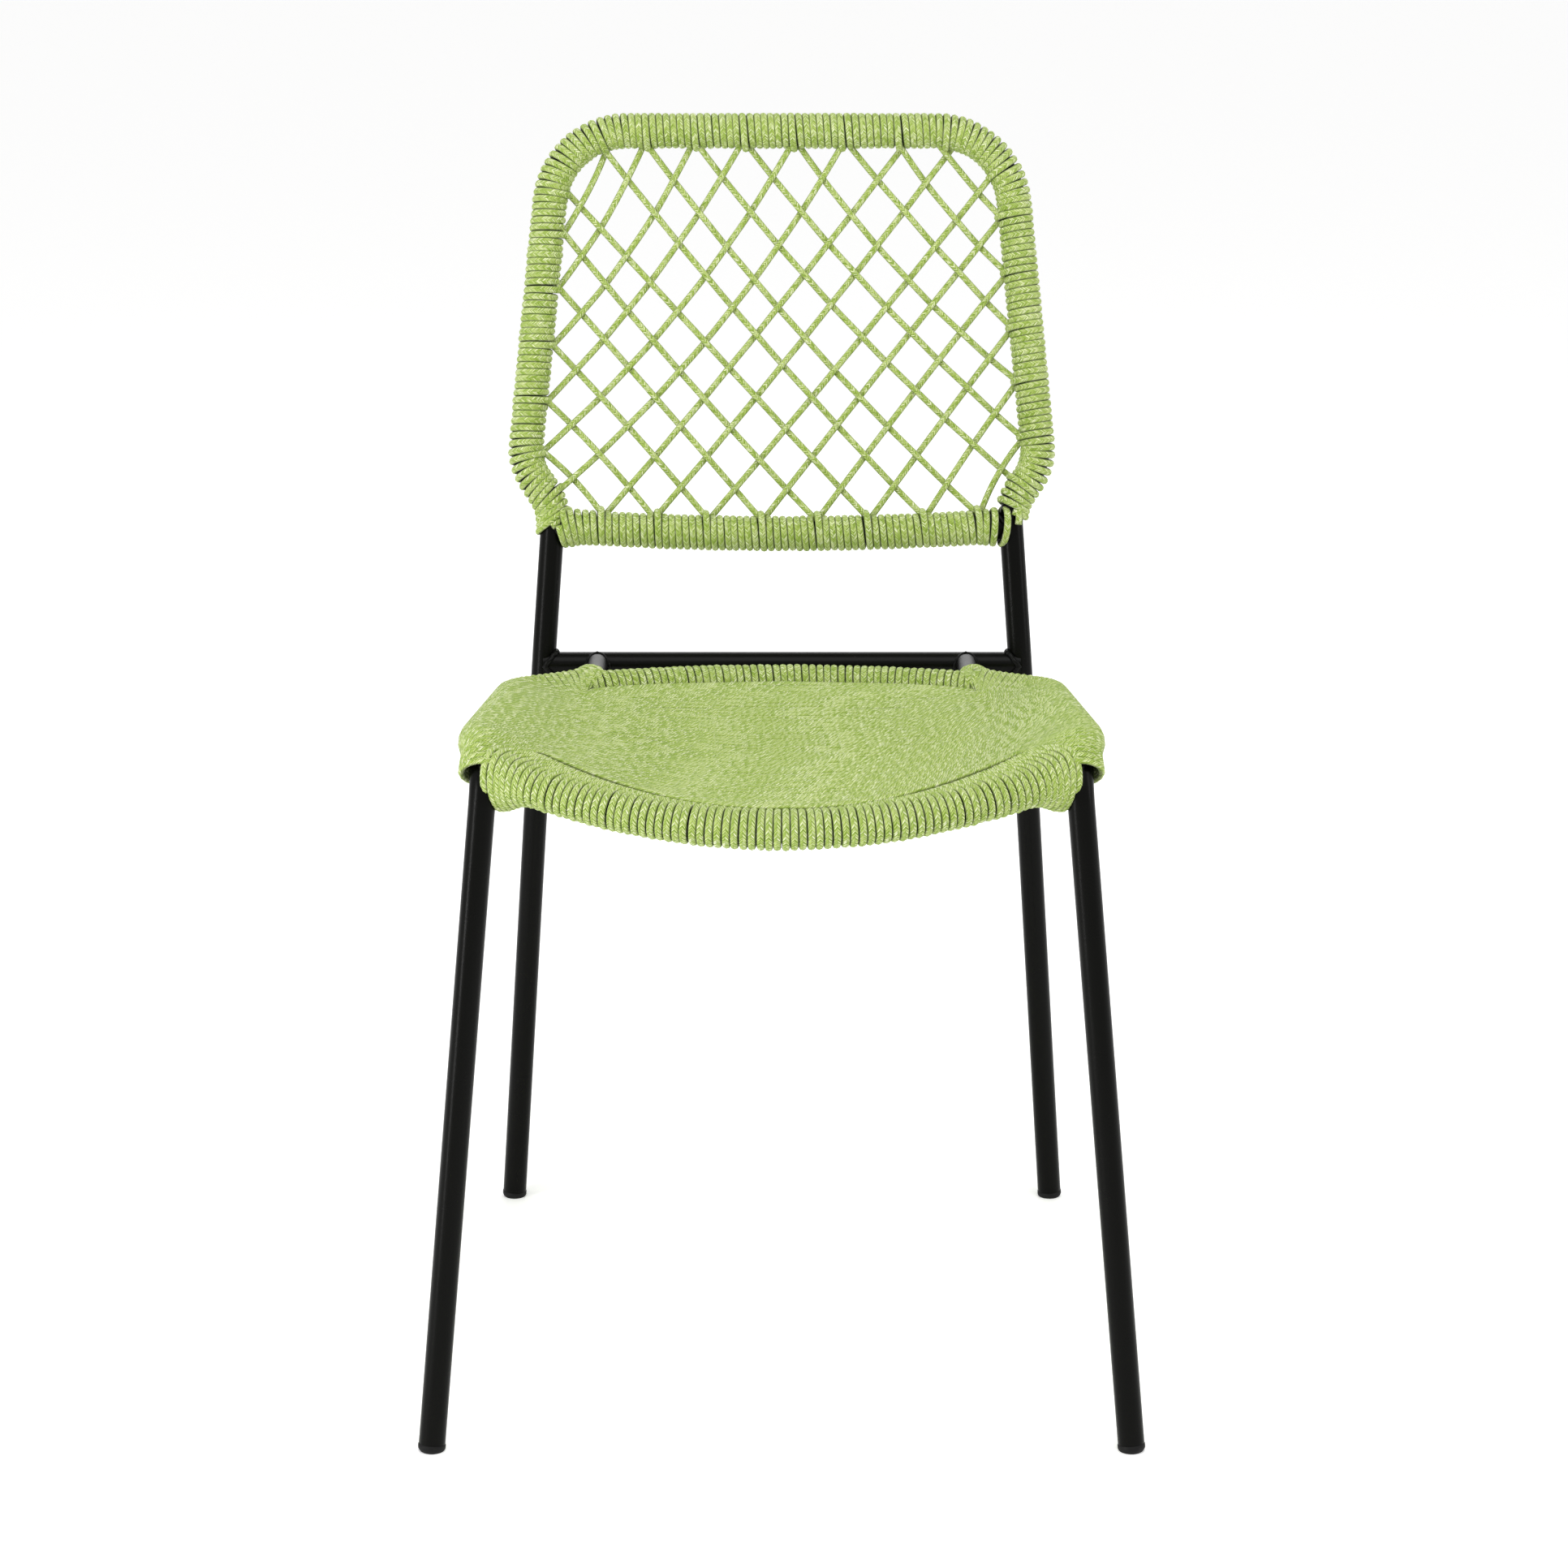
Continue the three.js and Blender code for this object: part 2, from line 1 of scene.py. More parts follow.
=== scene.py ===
# %% [markdown]
# This lesson builds the looks of a stacking chair: a frame of bent steel tube, wound and woven
# with round braided rope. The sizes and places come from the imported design, which is loaded first
# and is never moved or changed. Every new piece stands for one or more of its nodes.

# %% Load the frame
import math

import bpy
import numpy as np
from mathutils import Matrix, Vector


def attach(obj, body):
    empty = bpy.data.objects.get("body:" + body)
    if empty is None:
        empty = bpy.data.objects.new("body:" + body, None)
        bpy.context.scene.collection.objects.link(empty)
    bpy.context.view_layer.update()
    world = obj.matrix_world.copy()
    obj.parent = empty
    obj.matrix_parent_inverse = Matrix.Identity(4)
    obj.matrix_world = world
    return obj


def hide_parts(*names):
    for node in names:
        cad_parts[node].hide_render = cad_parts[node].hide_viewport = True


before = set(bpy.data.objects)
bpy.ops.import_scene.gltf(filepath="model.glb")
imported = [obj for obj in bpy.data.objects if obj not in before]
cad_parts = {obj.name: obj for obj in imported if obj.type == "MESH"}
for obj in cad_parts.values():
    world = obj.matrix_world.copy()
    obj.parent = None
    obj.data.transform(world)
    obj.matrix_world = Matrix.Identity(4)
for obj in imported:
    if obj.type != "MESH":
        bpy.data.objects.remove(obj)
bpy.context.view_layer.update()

draw = np.random.default_rng(11)

# %% [markdown]
# The driving dimensions are those of the design, in millimetres, except that the rope here is a
# tenth of a millimetre thicker than its sleeves there. The chair was laid out about the middle of
# its four feet and then stood on its box centre, so the soles of the foot plugs say how far every
# place has to be shifted.

# %% Driving dimensions, millimetres
MM = 0.001
TUBE_RADIUS = 9.0
ROPE_WIDTH = 5.3
ROPE_THICKNESS = 4.3
WRAP_RADIUS = TUBE_RADIUS + ROPE_THICKNESS / 2
FOOT_SPREAD_FRONT, FOOT_SPREAD_REAR, FOOT_REACH, SOCKET_HEIGHT = 235.0, 211.5, 238.5, 5.0
CROSSBAR_HEIGHT, UPRIGHT_SPREAD, UPRIGHT_REACH = 437.0, 180.0, 213.0
BACK_RECLINE = math.radians(12)
HOOP_TOP_HEIGHT, HOOP_TOP_SPREAD = 828.0, 169.0
HOOP_WIDEST_HEIGHT, HOOP_WIDEST_SPREAD = 584.0, 194.0
UPRIGHT_TOP_HEIGHT, UPRIGHT_TOP_SPREAD = 553.0, 172.0
REAR_LEG_BEND, HOOP_CORNER_BEND, JOGGLE_BEND = 160.0, 58.0, 40.0
BACK_RAIL_HEIGHT, BACK_RAIL_DROP = 539.0, 6.0
LEG_TOP_SPREAD, SEAT_FRONT_REACH, SEAT_FRONT_HEIGHT = 193.5, -184.0, 468.0
SEAT_WIDEST_SPREAD, SEAT_WIDEST_REACH = 203.0, -125.0
SEAT_REAR_SPREAD, SEAT_REAR_REACH, SEAT_REAR_HEIGHT = 196.0, 128.0, 432.0
STUB_SPREAD, STUB_BEND_REACH = 139.0, 152.0
LEG_BEND, SIDE_BOW, REAR_BEND, STUB_BEND = 34.0, 200.0, 30.0, 20.0
FRONT_RAIL_HEIGHT, FRONT_RAIL_REACH = 431.5, -238.0
REAR_RAIL_HEIGHT, REAR_RAIL_REACH = 432.5, 172.0


def sole_reach(node):
    """The middle of a foot plug's flat sole, along Y, in millimetres."""
    ys = [v.co.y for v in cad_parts[node].data.vertices if v.co.z < 1e-4]
    return (min(ys) + max(ys)) / 2 / MM


LAYOUT_SHIFT = (sole_reach("foot_plug_front_left") + sole_reach("foot_plug_rear_left")) / 2
print("layout centre stands at y =", round(LAYOUT_SHIFT, 2), "mm")

# %% [markdown]
# Everything on this chair follows a bent centre line. A path here is a row of close points made
# from corners with bend radii, which is how a tube bender is set. It can be asked for the place
# and direction at any distance along it.

# %% Bent paths


def unit(v):
    return v / np.linalg.norm(v, axis=-1, keepdims=True)


def spot(x, y, z):
    return np.array([x, y, z], float)


def mirrored(v):
    return v * spot(-1, 1, 1)


def on_back(x, height, lift=0.0):
    """A place on the leaning plane of the back, lift millimetres in front of it."""
    away = UPRIGHT_REACH + (height - CROSSBAR_HEIGHT) * math.tan(BACK_RECLINE)
    return spot(x, away - lift * math.cos(BACK_RECLINE), height + lift * math.sin(BACK_RECLINE))


class Path:
    def __init__(self, points):
        self.points = np.array(points, float)
        steps = np.linalg.norm(np.diff(self.points, axis=0), axis=1)
        self.runs = np.concatenate([[0.0], np.cumsum(steps)])
        self.length = self.runs[-1]

    def at(self, s):
        return np.stack([np.interp(s, self.runs, self.points[:, i]) for i in range(3)], axis=-1)

    def direction(self, s, reach=2.0):
        s = np.clip(np.asarray(s, float), reach, self.length - reach)
        return unit(self.at(s + reach) - self.at(s - reach))

    def nearest(self, place):
        s = np.linspace(0, self.length, 4000)
        return s[np.argmin(np.linalg.norm(self.at(s) - place, axis=1))]


def bends_of(corners):
    """For each inner corner: where its arc starts, its centre, its axis and how far it turns."""
    found = []
    for (before, _), (corner, radius), (after, _) in zip(corners, corners[1:], corners[2:]):
        toward, away = unit(before - corner), unit(after - corner)
        half = math.acos(float(toward @ away)) / 2
        centre = corner + unit(toward + away) * radius / math.sin(half)
        start = corner + toward * radius / math.tan(half)
        found.append((start, centre, unit(np.cross(away, toward)), math.pi - 2 * half))
    return found


def bent_path(corners, step=math.radians(4)):
    points = [corners[0][0]]
    for start, centre, axis, turn in bends_of(corners):
        count = max(3, math.ceil(turn / step))
        for k in range(count + 1):
            turned = Matrix.Rotation(turn * k / count, 3, Vector(axis)) @ Vector(start - centre)
            points.append(centre + np.array(turned))
    points.append(corners[-1][0])
    return Path(points)


def arced_path(start, middle, end, count=40):
    t = np.linspace(0, 1, count)[:, None]
    control = 2 * middle - (start + end) / 2
    return Path(start * (1 - t) ** 2 + 2 * control * t * (1 - t) + end * t**2)


rear_foot = spot(FOOT_SPREAD_REAR, FOOT_REACH, 0)
crossbar_end = on_back(UPRIGHT_SPREAD, CROSSBAR_HEIGHT)
rear_axis = unit(crossbar_end - rear_foot)
right_half = [
    (rear_foot + rear_axis * SOCKET_HEIGHT, 0),
    (crossbar_end, REAR_LEG_BEND),
    (on_back(UPRIGHT_TOP_SPREAD, UPRIGHT_TOP_HEIGHT), JOGGLE_BEND),
    (on_back(HOOP_WIDEST_SPREAD, HOOP_WIDEST_HEIGHT), JOGGLE_BEND),
    (on_back(HOOP_TOP_SPREAD, HOOP_TOP_HEIGHT), HOOP_CORNER_BEND),
]
hoop_corners = right_half + [(mirrored(c), r) for c, r in reversed(right_half)]
hoop = bent_path(hoop_corners)


def side_rail_height(y):
    share = (y - SEAT_FRONT_REACH) / (SEAT_REAR_REACH - SEAT_FRONT_REACH)
    return SEAT_FRONT_HEIGHT + (SEAT_REAR_HEIGHT - SEAT_FRONT_HEIGHT) * share


front_foot = spot(FOOT_SPREAD_FRONT, -FOOT_REACH, 0)
seat_corner = spot(LEG_TOP_SPREAD, SEAT_FRONT_REACH, SEAT_FRONT_HEIGHT)
front_axis = unit(seat_corner - front_foot)
right_side = [
    (front_foot + front_axis * SOCKET_HEIGHT, 0),
    (seat_corner, LEG_BEND),
    (spot(SEAT_WIDEST_SPREAD, SEAT_WIDEST_REACH, side_rail_height(SEAT_WIDEST_REACH)), SIDE_BOW),
    (spot(SEAT_REAR_SPREAD, SEAT_REAR_REACH, SEAT_REAR_HEIGHT), REAR_BEND),
    (spot(STUB_SPREAD, STUB_BEND_REACH, SEAT_REAR_HEIGHT + 1), STUB_BEND),
    (spot(STUB_SPREAD, UPRIGHT_REACH, CROSSBAR_HEIGHT), 0),
]
side_corners = {"right": right_side, "left": [(mirrored(c), r) for c, r in right_side]}
sides = {hand: bent_path(corners) for hand, corners in side_corners.items()}

leg_start, leg_centre, leg_turn_axis, leg_turn = bends_of(right_side)[0]
half_turned = Matrix.Rotation(leg_turn / 2, 3, Vector(leg_turn_axis)) @ Vector(leg_start - leg_centre)
front_rail_end = leg_centre + np.array(half_turned)
front_rail = arced_path(
    mirrored(front_rail_end), spot(0, FRONT_RAIL_REACH, FRONT_RAIL_HEIGHT), front_rail_end
)
rear_rail_end = spot(STUB_SPREAD, STUB_BEND_REACH - 4, SEAT_REAR_HEIGHT + 1)
rear_rail = arced_path(mirrored(rear_rail_end), spot(0, REAR_RAIL_REACH, REAR_RAIL_HEIGHT), rear_rail_end)
back_rail_end = on_back(UPRIGHT_TOP_SPREAD, BACK_RAIL_HEIGHT)
back_rail = arced_path(
    mirrored(back_rail_end), on_back(0, BACK_RAIL_HEIGHT - BACK_RAIL_DROP), back_rail_end
)
crossbar = Path([mirrored(crossbar_end), crossbar_end])
print("hoop tube", round(hoop.length), "mm long, each side tube", round(sides["right"].length), "mm")

# %% [markdown]
# The camera stands in front of the chair, a little above its back, and looks down on the seat.
# Its long lens keeps the front and rear legs nearly parallel.

# %% Camera
CAMERA_HEIGHT = 1093.71
CAMERA_DISTANCE = 2626.4
CAMERA_ASIDE = 1.6
CAMERA_PITCH = math.radians(14.811)
LENS = 88.509


def to_metres(place):
    """A place of the layout, in metres in the frame of the design."""
    return (np.asarray(place, float) + spot(0, LAYOUT_SHIFT, 0)) * MM


camera_data = bpy.data.cameras.new("camera")
camera_data.sensor_width = 36
camera_data.lens = LENS
camera = bpy.data.objects.new("camera", camera_data)
bpy.context.scene.collection.objects.link(camera)
camera.location = to_metres(spot(CAMERA_ASIDE, -CAMERA_DISTANCE, CAMERA_HEIGHT))
camera.rotation_euler = (math.pi / 2 - CAMERA_PITCH, 0, 0)
bpy.context.scene.camera = camera
bpy.context.scene.view_settings.view_transform = "Standard"
print("camera at", [round(v, 3) for v in camera.location])

# %% [markdown]
# The light is that of a product studio: a bright even surround, a large soft panel over the front
# of the chair, one behind it and a weaker one on each side, all over a pale floor. A narrow strip
# low on the left draws the soft streak down the tubes.

# %% Floor and light
FLOOR_RADIUS = 45.0
SURROUND = 0.80
AIMED_AT = Vector((0, 0, 0.5))


def soft_panel(name, place, size, power):
    light = bpy.data.lights.new(name, "AREA")
    light.shape = "RECTANGLE"
    light.size, light.size_y = size
    light.energy = power
    panel = bpy.data.objects.new(name, light)
    bpy.context.scene.collection.objects.link(panel)
    panel.location = place
    panel.rotation_euler = (AIMED_AT - Vector(place)).to_track_quat("-Z", "Y").to_euler()


soft_panel("panel_over_front", (0.3, -1.5, 3.2), (2.4, 2.0), 46)
soft_panel("panel_left", (-3.0, -1.0, 1.6), (0.9, 2.2), 3)
soft_panel("strip_left", (-1.9, -1.3, 0.75), (0.22, 1.5), 18)
soft_panel("panel_right", (3.0, -0.6, 1.5), (0.7, 2.0), 12)
soft_panel("panel_behind", (0, 3.2, 2.0), (2.6, 1.0), 26)

world = bpy.data.worlds.new("surround")
world.use_nodes = True
world.node_tree.nodes["Background"].inputs["Color"].default_value = (1, 1, 1, 1)
world.node_tree.nodes["Background"].inputs["Strength"].default_value = SURROUND
bpy.context.scene.world = world
print("five soft panels and an even surround")

# %% [markdown]
# Shader maths reads best as plain sums. A small class wraps a socket, and each operator on it adds
# one Math node. Any other node is made by one method that takes its settings and its inputs.

# %% Shader helpers


class Value:
    def __init__(self, graph, socket):
        self.graph, self.socket = graph, socket

    def math(self, operation, *others):
        return self.graph.add("ShaderNodeMath", {"operation": operation}, [self, *others])[0]

    def __add__(self, other):
        return self.math("ADD", other)

    def __sub__(self, other):
        return self.math("SUBTRACT", other)

    def __rsub__(self, other):
        return self.graph.add("ShaderNodeMath", {"operation": "SUBTRACT"}, [other, self])[0]

    def __mul__(self, other):
        return self.math("MULTIPLY", other)

    __radd__ = __add__
    __rmul__ = __mul__


class Graph:
    def __init__(self, name):
        self.material = bpy.data.materials.new(name)
        self.material.use_nodes = True
        self.tree = self.material.node_tree
        self.shader = self.tree.nodes["Principled BSDF"]

    def add(self, kind, settings=None, inputs=()):
        """A node with its settings, then its inputs by order or by name; returns its outputs."""
        node = self.tree.nodes.new(kind)
        for key, value in (settings or {}).items():
            if key == "stops":
                self.set_stops(node.color_ramp, value)
            else:
                setattr(node, key, value)
        named = inputs.items() if isinstance(inputs, dict) else enumerate(inputs)
        for key, value in named:
            if value is not None:
                self.feed(node.inputs[key], value)
        return [Value(self, out) for out in node.outputs if out.enabled]

    def set_stops(self, ramp, stops):
        while len(ramp.elements) < len(stops):
            ramp.elements.new(0.5)
        for element, (position, colour) in zip(ramp.elements, stops):
            element.position = position
            element.color = (*colour, 1)

    def feed(self, socket, value):
        if isinstance(value, Value):
            self.tree.links.new(value.socket, socket)
        else:
            socket.default_value = value

    def mix(self, factor, first, second, blend="MIX"):
        return self.add(
            "ShaderNodeMix",
            {"data_type": "RGBA", "blend_type": blend},
            {"Factor": factor, 6: first, 7: second},
        )[0]

    def ramp(self, value, stops):
        return self.add("ShaderNodeValToRGB", {"stops": stops}, [value])[0]

    def noise(self, vector, scale, detail=2.0, roughness=0.5):
        inputs = {"Vector": vector, "Scale": scale, "Detail": detail, "Roughness": roughness}
        return self.add("ShaderNodeTexNoise", {}, inputs)[0]

    def object_place(self):
        node = self.tree.nodes.new("ShaderNodeTexCoord")
        return Value(self, node.outputs["Object"])

    def uv(self):
        node = self.tree.nodes.new("ShaderNodeTexCoord")
        return Value(self, node.outputs["UV"])

    def bump(self, height, strength, distance):
        inputs = {"Strength": strength, "Distance": distance, "Height": height}
        return self.add("ShaderNodeBump", {}, inputs)[0]

    def surface(self, **inputs):
        for name, value in inputs.items():
            self.feed(self.shader.inputs[name.replace("_", " ")], value)
        return self.material


print("shader helpers are ready")

# %% [markdown]
# The steel is powder coated in a satin black. Powder coating melts into a very fine orange peel,
# so a fine noise bends the light and a coarser one varies the gloss. Handling leaves a few faint
# dull scuffs.

# %% Painted steel
BLACK = (0.0018, 0.0019, 0.0014, 1)
SCUFF = (0.030, 0.030, 0.028, 1)


def painted_steel(name, base, scuff_amount, peel):
    g = Graph(name)
    place = g.object_place()
    fine = g.noise(place, 900.0, 2.0)
    broad = g.noise(place, 14.0, 3.0)
    scratches = g.noise(
        g.add("ShaderNodeMapping", {}, {"Vector": place, "Scale": (1.0, 1.0, 0.12)})[0], 260.0, 4.0, 0.7
    )
    worn = g.ramp(scratches, [(0.0, (0, 0, 0)), (0.70, (0, 0, 0)), (0.76, (1, 1, 1))])
    colour = g.mix(worn * broad * scuff_amount, base, SCUFF)
    relief = fine * peel + broad * 0.2
    return g.surface(
        Base_Color=colour,
        Roughness=0.22 + 0.10 * broad + 0.1 * worn,
        Specular_IOR_Level=0.08,
        Normal=g.bump(relief, 0.35, 0.0002),
    )


steel = painted_steel("satin_black_steel", BLACK, 0.9, 1.0)
print("painted steel is ready")

# %% [markdown]
# The weld beads are under the same paint, and their ripples catch more light. Their black is made a
# little lighter than the tube's, as a painted highlight.

# %% Painted weld and foot plastic
# Lighter than the tube's black: a painted highlight on the weld ripples.
WELD_BLACK_PAINTED_HIGHLIGHT = (0.0040, 0.0042, 0.0036, 1)
PLASTIC_BLACK = (0.005, 0.005, 0.005, 1)
weld_paint = painted_steel("painted_weld_bead", WELD_BLACK_PAINTED_HIGHLIGHT, 1.6, 2.5)


def moulded_plastic():
    g = Graph("moulded_foot_plastic")
    place = g.object_place()
    grain = g.noise(place, 1600.0, 3.0, 0.6)
    dust = g.noise(place, 90.0, 4.0)
    dusty = g.ramp(dust, [(0.55, (0, 0, 0)), (0.8, (1, 1, 1))])
    colour = g.mix(dusty * 0.5, PLASTIC_BLACK, SCUFF)
    return g.surface(
        Base_Color=colour,
        Roughness=0.48 + 0.2 * dust,
        Specular_IOR_Level=0.16,
        Normal=g.bump(grain, 0.3, 0.00015),
    )


plastic = moulded_plastic()
print("weld paint and foot plastic are ready")

# %% [markdown]
# The rope is braided from green and off-white yarns. Its surface is rows of slanting stitches that
# lean left and right in turn, so they read as chevrons along the rope. The pattern is worked out
# from the rope's own coordinates: U runs once round the rope and V counts stitches along it.

# %% Braided rope
STITCH = 1.80                 # millimetres of rope for each stitch
COLUMNS = 4                   # stitch columns round the rope, so each face shows one chevron
SLANT = 2.1                   # stitches that a column leans across its width
YARNS = 3                     # yarns side by side in one stitch


def braided_rope():
    g = Graph("braided_rope")
    around, along, _ = g.add("ShaderNodeSeparateXYZ", {}, [g.uv()])
    column = around * COLUMNS
    lean = column.math("PINGPONG", 1.0)
    phase = along + lean * SLANT
    within = phase.math("FRACT")
    crown = 1 - (within * 2 - 1).math("ABSOLUTE").math("POWER", 2.0)
    across = (column.math("FRACT") * 2 - 1).math("ABSOLUTE").math("POWER", 4.0)
    crown = crown * (1 - 0.6 * across)
    yarn_row = (phase * YARNS).math("FLOOR")
    key = g.add("ShaderNodeCombineXYZ", {}, [yarn_row, (column * 2).math("FLOOR"), 0.0])[0]
    chance = g.add("ShaderNodeTexWhiteNoise", {"noise_dimensions": "2D"}, {"Vector": key})[0]
    drawn_out = g.add("ShaderNodeMapping", {}, {"Vector": g.uv(), "Scale": (40.0, 2.2, 1.0)})[0]
    fibres = g.noise(drawn_out, 1.0, 3.0, 0.7)
    cloud = g.noise(g.object_place(), 34.0, 3.0, 0.6)
    heather = chance * 0.92 + (fibres - 0.5) * 0.45 + (cloud - 0.5) * 0.12 + 0.04
    yarn = g.ramp(
        heather,
        [
            (0.00, (0.222, 0.355, 0.038)),
            (0.30, (0.335, 0.472, 0.074)),
            (0.58, (0.468, 0.590, 0.150)),
            (0.80, (0.645, 0.738, 0.320)),
            (1.00, (0.880, 0.910, 0.650)),
        ],
    )
    # Painted shade: the yarn colour is darkened in the hollows between the stitch crowns, on the sides of
    # a rope, which lie against its neighbours, and on its back. The back is dark along the open lattice
    # too, which shows from below and behind.
    turned = around.math("PINGPONG", 0.5)
    beside = ((turned - 0.15) * 9.0).math("MAXIMUM", 0.0).math("MINIMUM", 1.0)
    shade = (0.56 + 0.44 * crown) * (1 - 0.5 * beside)
    painted_shade_grey = g.add("ShaderNodeCombineColor", {}, [shade, shade, shade])[0]
    colour = g.mix(1.0, yarn, painted_shade_grey, "MULTIPLY")
    relief = crown + fibres * 0.25
    g.shader.inputs["Sheen Weight"].default_value = 0.12
    return g.surface(
        Base_Color=colour,
        Roughness=0.82 + 0.12 * fibres,
        Specular_IOR_Level=0.25,
        Normal=g.bump(relief, 0.75, 0.0005),
    )


rope = braided_rope()
print("braided rope is ready")

# %% [markdown]
# The floor is part of the studio and not of the chair: a plain pale sheet that runs out of sight.

# %% Floor
bpy.ops.object.select_all(action="DESELECT")
bpy.ops.mesh.primitive_circle_add(vertices=64, radius=FLOOR_RADIUS, fill_type="NGON", location=(0, 0, 0))
floor = bpy.context.object
floor.name = "floor"
pale = Graph("pale_floor")
pale.shader.inputs["Emission Color"].default_value = (1, 1, 1, 1)
pale.shader.inputs["Emission Strength"].default_value = 0.2
floor.data.materials.append(pale.surface(Base_Color=(0.96, 0.96, 0.957, 1), Roughness=0.9))
print("floor of", FLOOR_RADIUS, "m radius")

# %% [markdown]
# Each tube is bent as on a tube bender. A ring of the tube's own radius stands at one end, is
# pushed along each straight run and is spun round the axis of each bend, and the ends are closed.

# %% Bend the tubes
TUBE_SIDES = 28
STUB_SINK = 2.5               # a stub's end sinks this far into the round of the crossbar
made = {}


def keep(piece, name, material, slot, *nodes):
    """Finishes a piece: its name, finish, body and the design nodes that it stands for."""
    piece.name = piece.data.name = name
    piece.data.materials.clear()
    piece.data.materials.append(material)
    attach(piece, "root")
    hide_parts(*nodes)
    made[name] = len(piece.data.polygons)


def fresh():
    bpy.ops.object.select_all(action="DESELECT")


def ring_at(place, axis, radius, sides=TUBE_SIDES):
    fresh()
    turned = Vector(axis).to_track_quat("Z", "Y")
    bpy.ops.mesh.primitive_circle_add(vertices=sides, radius=radius * MM, location=(0, 0, 0))
    piece = bpy.context.object
    piece.data.transform(Matrix.Translation(to_metres(place)) @ turned.to_matrix().to_4x4())
    bpy.ops.object.mode_set(mode="EDIT")
    bpy.ops.mesh.select_all(action="SELECT")
    return piece


def push(step):
    bpy.ops.mesh.extrude_region_move(TRANSFORM_OT_translate={"value": Vector(step) * MM})


def close_and_smooth(piece):
    bpy.ops.mesh.select_all(action="SELECT")
    bpy.ops.mesh.remove_doubles(threshold=1e-5)
    bpy.ops.mesh.select_all(action="DESELECT")
    bpy.ops.mesh.select_non_manifold()
    bpy.ops.mesh.edge_face_add()
    bpy.ops.mesh.select_all(action="SELECT")
    bpy.ops.mesh.normals_make_consistent(inside=False)
    bpy.ops.object.mode_set(mode="OBJECT")
    bpy.ops.object.shade_smooth_by_angle(angle=math.radians(40))


def bend_tube(corners, radius=TUBE_RADIUS):
    place = corners[0][0]
    piece = ring_at(place, unit(corners[1][0] - place), radius)
    for start, centre, axis, turn in bends_of(corners):
        push(start - place)
        steps = max(3, math.ceil(turn / math.radians(5)))
        bpy.ops.mesh.spin(
            steps=steps, angle=-turn, center=to_metres(centre), axis=axis, use_auto_merge=False
        )
        place = centre + np.array(Matrix.Rotation(turn, 3, Vector(axis)) @ Vector(start - centre))
    push(corners[-1][0] - place)
    close_and_smooth(piece)
    return piece


keep(bend_tube(hoop_corners), "hoop_tube", steel, "painted_tube", "rear_hoop_tube")
for hand, corners in side_corners.items():
    inner = [*corners[:-1], (corners[-1][0] - spot(0, TUBE_RADIUS - STUB_SINK, 0), 0)]
    keep(bend_tube(inner), f"side_tube_{hand}", steel, "painted_tube", f"front_leg_{hand}")
print(made)

# %% [markdown]
# The rails bow gently all along, so a ring is pushed in many small steps and each new ring is
# turned to face along the bow.

# %% Bow the rails


def bow_tube(path, steps):
    stations = np.linspace(0, path.length, steps + 1)
    places, faces = path.at(stations), path.direction(stations)
    piece = ring_at(places[0], faces[0], TUBE_RADIUS)
    for here, there, was, now in zip(places, places[1:], faces, faces[1:]):
        push(there - here)
        turn = Vector(was).rotation_difference(Vector(now))
        if turn.angle > 1e-6:
            bpy.ops.transform.rotate(
                value=-turn.angle,
                orient_type="GLOBAL",
                orient_matrix=Vector(turn.axis).to_track_quat("Z", "Y").to_matrix(),
                orient_axis="Z",
                center_override=to_metres(there),
            )
    close_and_smooth(piece)
    return piece


keep(bow_tube(front_rail, 24), "front_rail_tube", steel, "painted_tube", "front_rail")
keep(bow_tube(rear_rail, 16), "rear_rail_tube", steel, "painted_tube", "rear_rail")
keep(bow_tube(back_rail, 16), "lower_back_rail_tube", steel, "painted_tube", "lower_back_rail")
keep(bow_tube(crossbar, 1), "crossbar_tube", steel, "painted_tube", "crossbar")
print({name: made[name] for name in made if "rail" in name or "bar" in name})

# %% [markdown]
# A weld bead follows the saddle where one round tube meets another. A torus is laid round the
# joint, lifted on to the saddle, and its section swells and thins with each puddle of the weld.

# %% Weld beads
BEAD_RADIUS = 2.4
STUB_BEAD_RADIUS = 1.3
BEAD_PUDDLES, PUDDLE_SWELL = 17, 0.13
SADDLE_LIFT = 0.6


def weld_bead(path, at_end, main_direction, radius=BEAD_RADIUS):
    s = path.length if at_end else 0.0
    joint = path.at(s)
    outward = path.direction(s) * (-1 if at_end else 1)
    across = unit(np.cross(outward, main_direction))
    along = unit(np.cross(across, outward))
    fresh()
    bpy.ops.mesh.primitive_torus_add(
        major_segments=72, minor_segments=10, major_radius=TUBE_RADIUS, minor_radius=radius
    )
    piece = bpy.context.object
    for v in piece.data.vertices:
        x, y, z = v.co
        angle = math.atan2(y, x)
        ring = Vector((math.cos(angle), math.sin(angle), 0)) * TUBE_RADIUS
        puddle = 1 + PUDDLE_SWELL * math.cos(BEAD_PUDDLES * angle + 2.5 * math.sin(3 * angle))
        swollen = ring + (Vector((x, y, z)) - ring) * puddle
        saddle = TUBE_RADIUS * math.sqrt(math.cos(angle) ** 2 + 0.02) + SADDLE_LIFT
        place = joint + along * swollen.x + across * swollen.y + outward * (swollen.z + saddle)
        v.co = to_metres(place)
    bpy.ops.object.mode_set(mode="EDIT")
    bpy.ops.mesh.select_all(action="SELECT")
    bpy.ops.mesh.normals_make_consistent(inside=False)
    bpy.ops.object.mode_set(mode="OBJECT")
    bpy.ops.object.shade_smooth_by_angle(angle=math.radians(60))
    return piece


